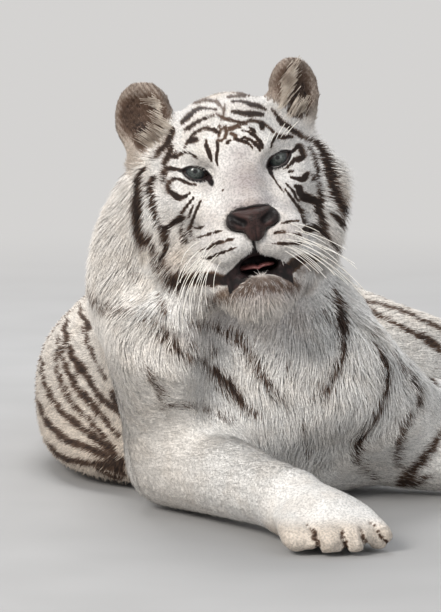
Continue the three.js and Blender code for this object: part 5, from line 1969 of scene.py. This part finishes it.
def hair_tree():
    """Lines in, tapered tubes out."""
    tree = bpy.data.node_groups.new("tapered hairs", "GeometryNodeTree")
    sockets = {"Geometry": None, "Thickness": 0.001, "Sides": 5, "Points": 12, "Material": None}
    kinds = {float: "Float", int: "Int"}  # the other two sockets are named after their kind
    for label, value in sockets.items():
        kind = "NodeSocket" + kinds.get(type(value), label)
        socket = tree.interface.new_socket(label, in_out="INPUT", socket_type=kind)
        if value is not None:
            socket.default_value = value
    tree.interface.new_socket("Geometry", in_out="OUTPUT", socket_type="NodeSocketGeometry")
    given, result = add(tree, "NodeGroupInput").outputs, add(tree, "NodeGroupOutput").inputs
    left = math_node(tree, "SUBTRACT", 1.0, add(tree, "GeometryNodeSplineParameter").outputs["Factor"])
    taper = math_node(tree, "MAXIMUM", math_node(tree, "POWER", left, 0.7), 0.04)
    half = math_node(tree, "MULTIPLY", given["Thickness"], 0.5)
    chain = [add(tree, "GeometryNode" + kind) for kind in (
        "MeshToCurve", "ResampleCurve", "SetCurveRadius", "CurveToMesh", "RealizeInstances",
        "SetMaterial")]
    tree.links.new(given["Geometry"], chain[0].inputs[0])
    for first, second in zip(chain, chain[1:]):
        tree.links.new(first.outputs[0], second.inputs[0])
    tree.links.new(chain[-1].outputs[0], result["Geometry"])
    _, even, radius, sweep, _, paint = chain
    ring = add(tree, "GeometryNodeCurvePrimitiveCircle")
    tree.links.new(given["Points"], even.inputs["Count"])
    tree.links.new(taper, radius.inputs["Radius"])
    tree.links.new(given["Sides"], ring.inputs["Resolution"])
    tree.links.new(half, ring.inputs["Radius"])
    tree.links.new(ring.outputs["Curve"], sweep.inputs["Profile Curve"])
    tree.links.new(given["Material"], paint.inputs["Material"])
    sweep.inputs["Fill Caps"].default_value = True
    return tree


def hairs(name, paths, material, points=12):
    """One piece of hairs along the paths, with the modifier applied."""
    size = len(paths[0])
    mesh = bpy.data.meshes.new(name)
    starts = np.arange(len(paths))[:, None] * size + np.arange(size - 1)
    edges = np.stack([starts, starts + 1], -1).reshape(-1, 2)
    mesh.from_pydata(from_head(np.vstack(paths)).tolist(), edges.tolist(), [])
    draft = placed(name + "_paths", mesh)
    modifier = draft.modifiers.new("hairs", "NODES")
    modifier.node_group = HAIR_TREE
    values = {"Thickness": HAIR_THICKNESS, "Points": points, "Material": material}
    for item in HAIR_TREE.interface.items_tree:
        if item.item_type == "SOCKET" and item.in_out == "INPUT" and item.name in values:
            modifier[item.identifier] = values[item.name]
    made = applied(draft)
    piece = placed(name, made)
    made.shade_smooth()
    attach(piece, "root")
    print(name, len(paths), "hairs,", len(made.polygons), "faces")


HAIR_TREE = hair_tree()
stiff = speckled_material("stiff hair", 0.42, ((0.80, 0.75, 0.66), (0.92, 0.89, 0.83), 40.0))
hairs("whiskers", whisker_paths(), stiff[0])
soft = speckled_material("ear hair", 0.6, ((0.26, 0.205, 0.16), (0.56, 0.49, 0.41), 60.0))
hairs("ear_hairs", ear_paths(), soft[0], 8)


# %% [markdown]
# ## Floor and light
# A plain pale floor meets a pale backdrop colour, and broad soft lamps light the animal from
# above and ahead, brighter from its right, as on a bright day in open shade.

# %% Stage
WALL_COLOUR = (0.66, 0.65, 0.64, 1)
SKY_COLOUR, SKY_STRENGTH = (0.90, 0.94, 1.0, 1), 0.56
FLOOR_FADE = (1.3, 4.0)  # the floor turns to the wall's colour between these distances


def lamp(name, place, target, size, energy, colour):
    data = bpy.data.lights.new(name, "AREA")
    data.shape = "SQUARE"
    data.size = size
    data.energy = energy
    data.color = colour
    thing = placed(name, data)
    thing.location = place
    thing.rotation_euler = (Vector(target) - Vector(place)).to_track_quat("-Z", "Y").to_euler()


def seen_directly(tree):
    """1 for what the camera sees, straight, mirrored or through glass, and 0 for the light cast."""
    path = add(tree, "ShaderNodeLightPath").outputs
    bounced = math_node(tree, "MAXIMUM", path["Is Glossy Ray"], path["Is Transmission Ray"])
    return math_node(tree, "MAXIMUM", path["Is Camera Ray"], bounced)


def make_world():
    world = bpy.data.worlds.new("studio")
    world.use_nodes = True
    tree = world.node_tree
    tree.nodes.clear()
    seen = seen_directly(tree)
    light, wall = add(tree, "ShaderNodeBackground"), add(tree, "ShaderNodeBackground")
    light.inputs[0].default_value = SKY_COLOUR
    light.inputs[1].default_value = SKY_STRENGTH
    wall.inputs[0].default_value = WALL_COLOUR
    wall.inputs[1].default_value = 1.0
    mix = add(tree, "ShaderNodeMixShader")
    tree.links.new(seen, mix.inputs[0])
    tree.links.new(light.outputs[0], mix.inputs[1])
    tree.links.new(wall.outputs[0], mix.inputs[2])
    tree.links.new(mix.outputs[0], add(tree, "ShaderNodeOutputWorld").inputs[0])
    bpy.context.scene.world = world


def make_floor():
    points = np.array([(-30, -9, 0), (30, -9, 0), (30, 30, 0), (-30, 30, 0)], float)
    floor = new_object("floor", points, np.array([(0, 1, 2, 3)]))
    material, tree, shader = speckled_material(
        "pale floor", 0.85, ((0.36, 0.355, 0.35), (0.39, 0.385, 0.38), 3.0, 0.3, 0.7))
    glow = add(tree, "ShaderNodeEmission")
    glow.inputs["Color"].default_value = WALL_COLOUR
    place = add(tree, "ShaderNodeTexCoord").outputs["Object"]
    away = add(tree, "ShaderNodeVectorMath", operation="LENGTH")
    tree.links.new(place, away.inputs[0])
    far_off = mapped(tree, away.outputs["Value"], *FLOOR_FADE)
    blend = add(tree, "ShaderNodeMixShader")
    tree.links.new(math_node(tree, "MULTIPLY", far_off, seen_directly(tree)), blend.inputs[0])
    tree.links.new(shader.outputs[0], blend.inputs[1])
    tree.links.new(glow.outputs[0], blend.inputs[2])
    tree.links.new(blend.outputs[0], tree.nodes["Material Output"].inputs["Surface"])
    floor.data.materials.append(material)


LAMPS = (  # name, place, target, size, watts, colour
    ("key", (-2.9, -4.9, 3.2), (-0.2, -0.4, 0.35), 2.0, 290, (1.0, 0.97, 0.93)),
    ("fill", (2.6, -4.2, 1.6), (0, -0.3, 0.3), 2.5, 50, (0.94, 0.97, 1.0)),
    ("top", (-0.8, 1.9, 3.4), (0, 0.2, 0.2), 2.2, 120, (1, 1, 1)))
make_world()
make_floor()
for row in LAMPS:
    lamp(*row)
bpy.context.scene.view_settings.view_transform = "Standard"
print("stage and lamps are set")
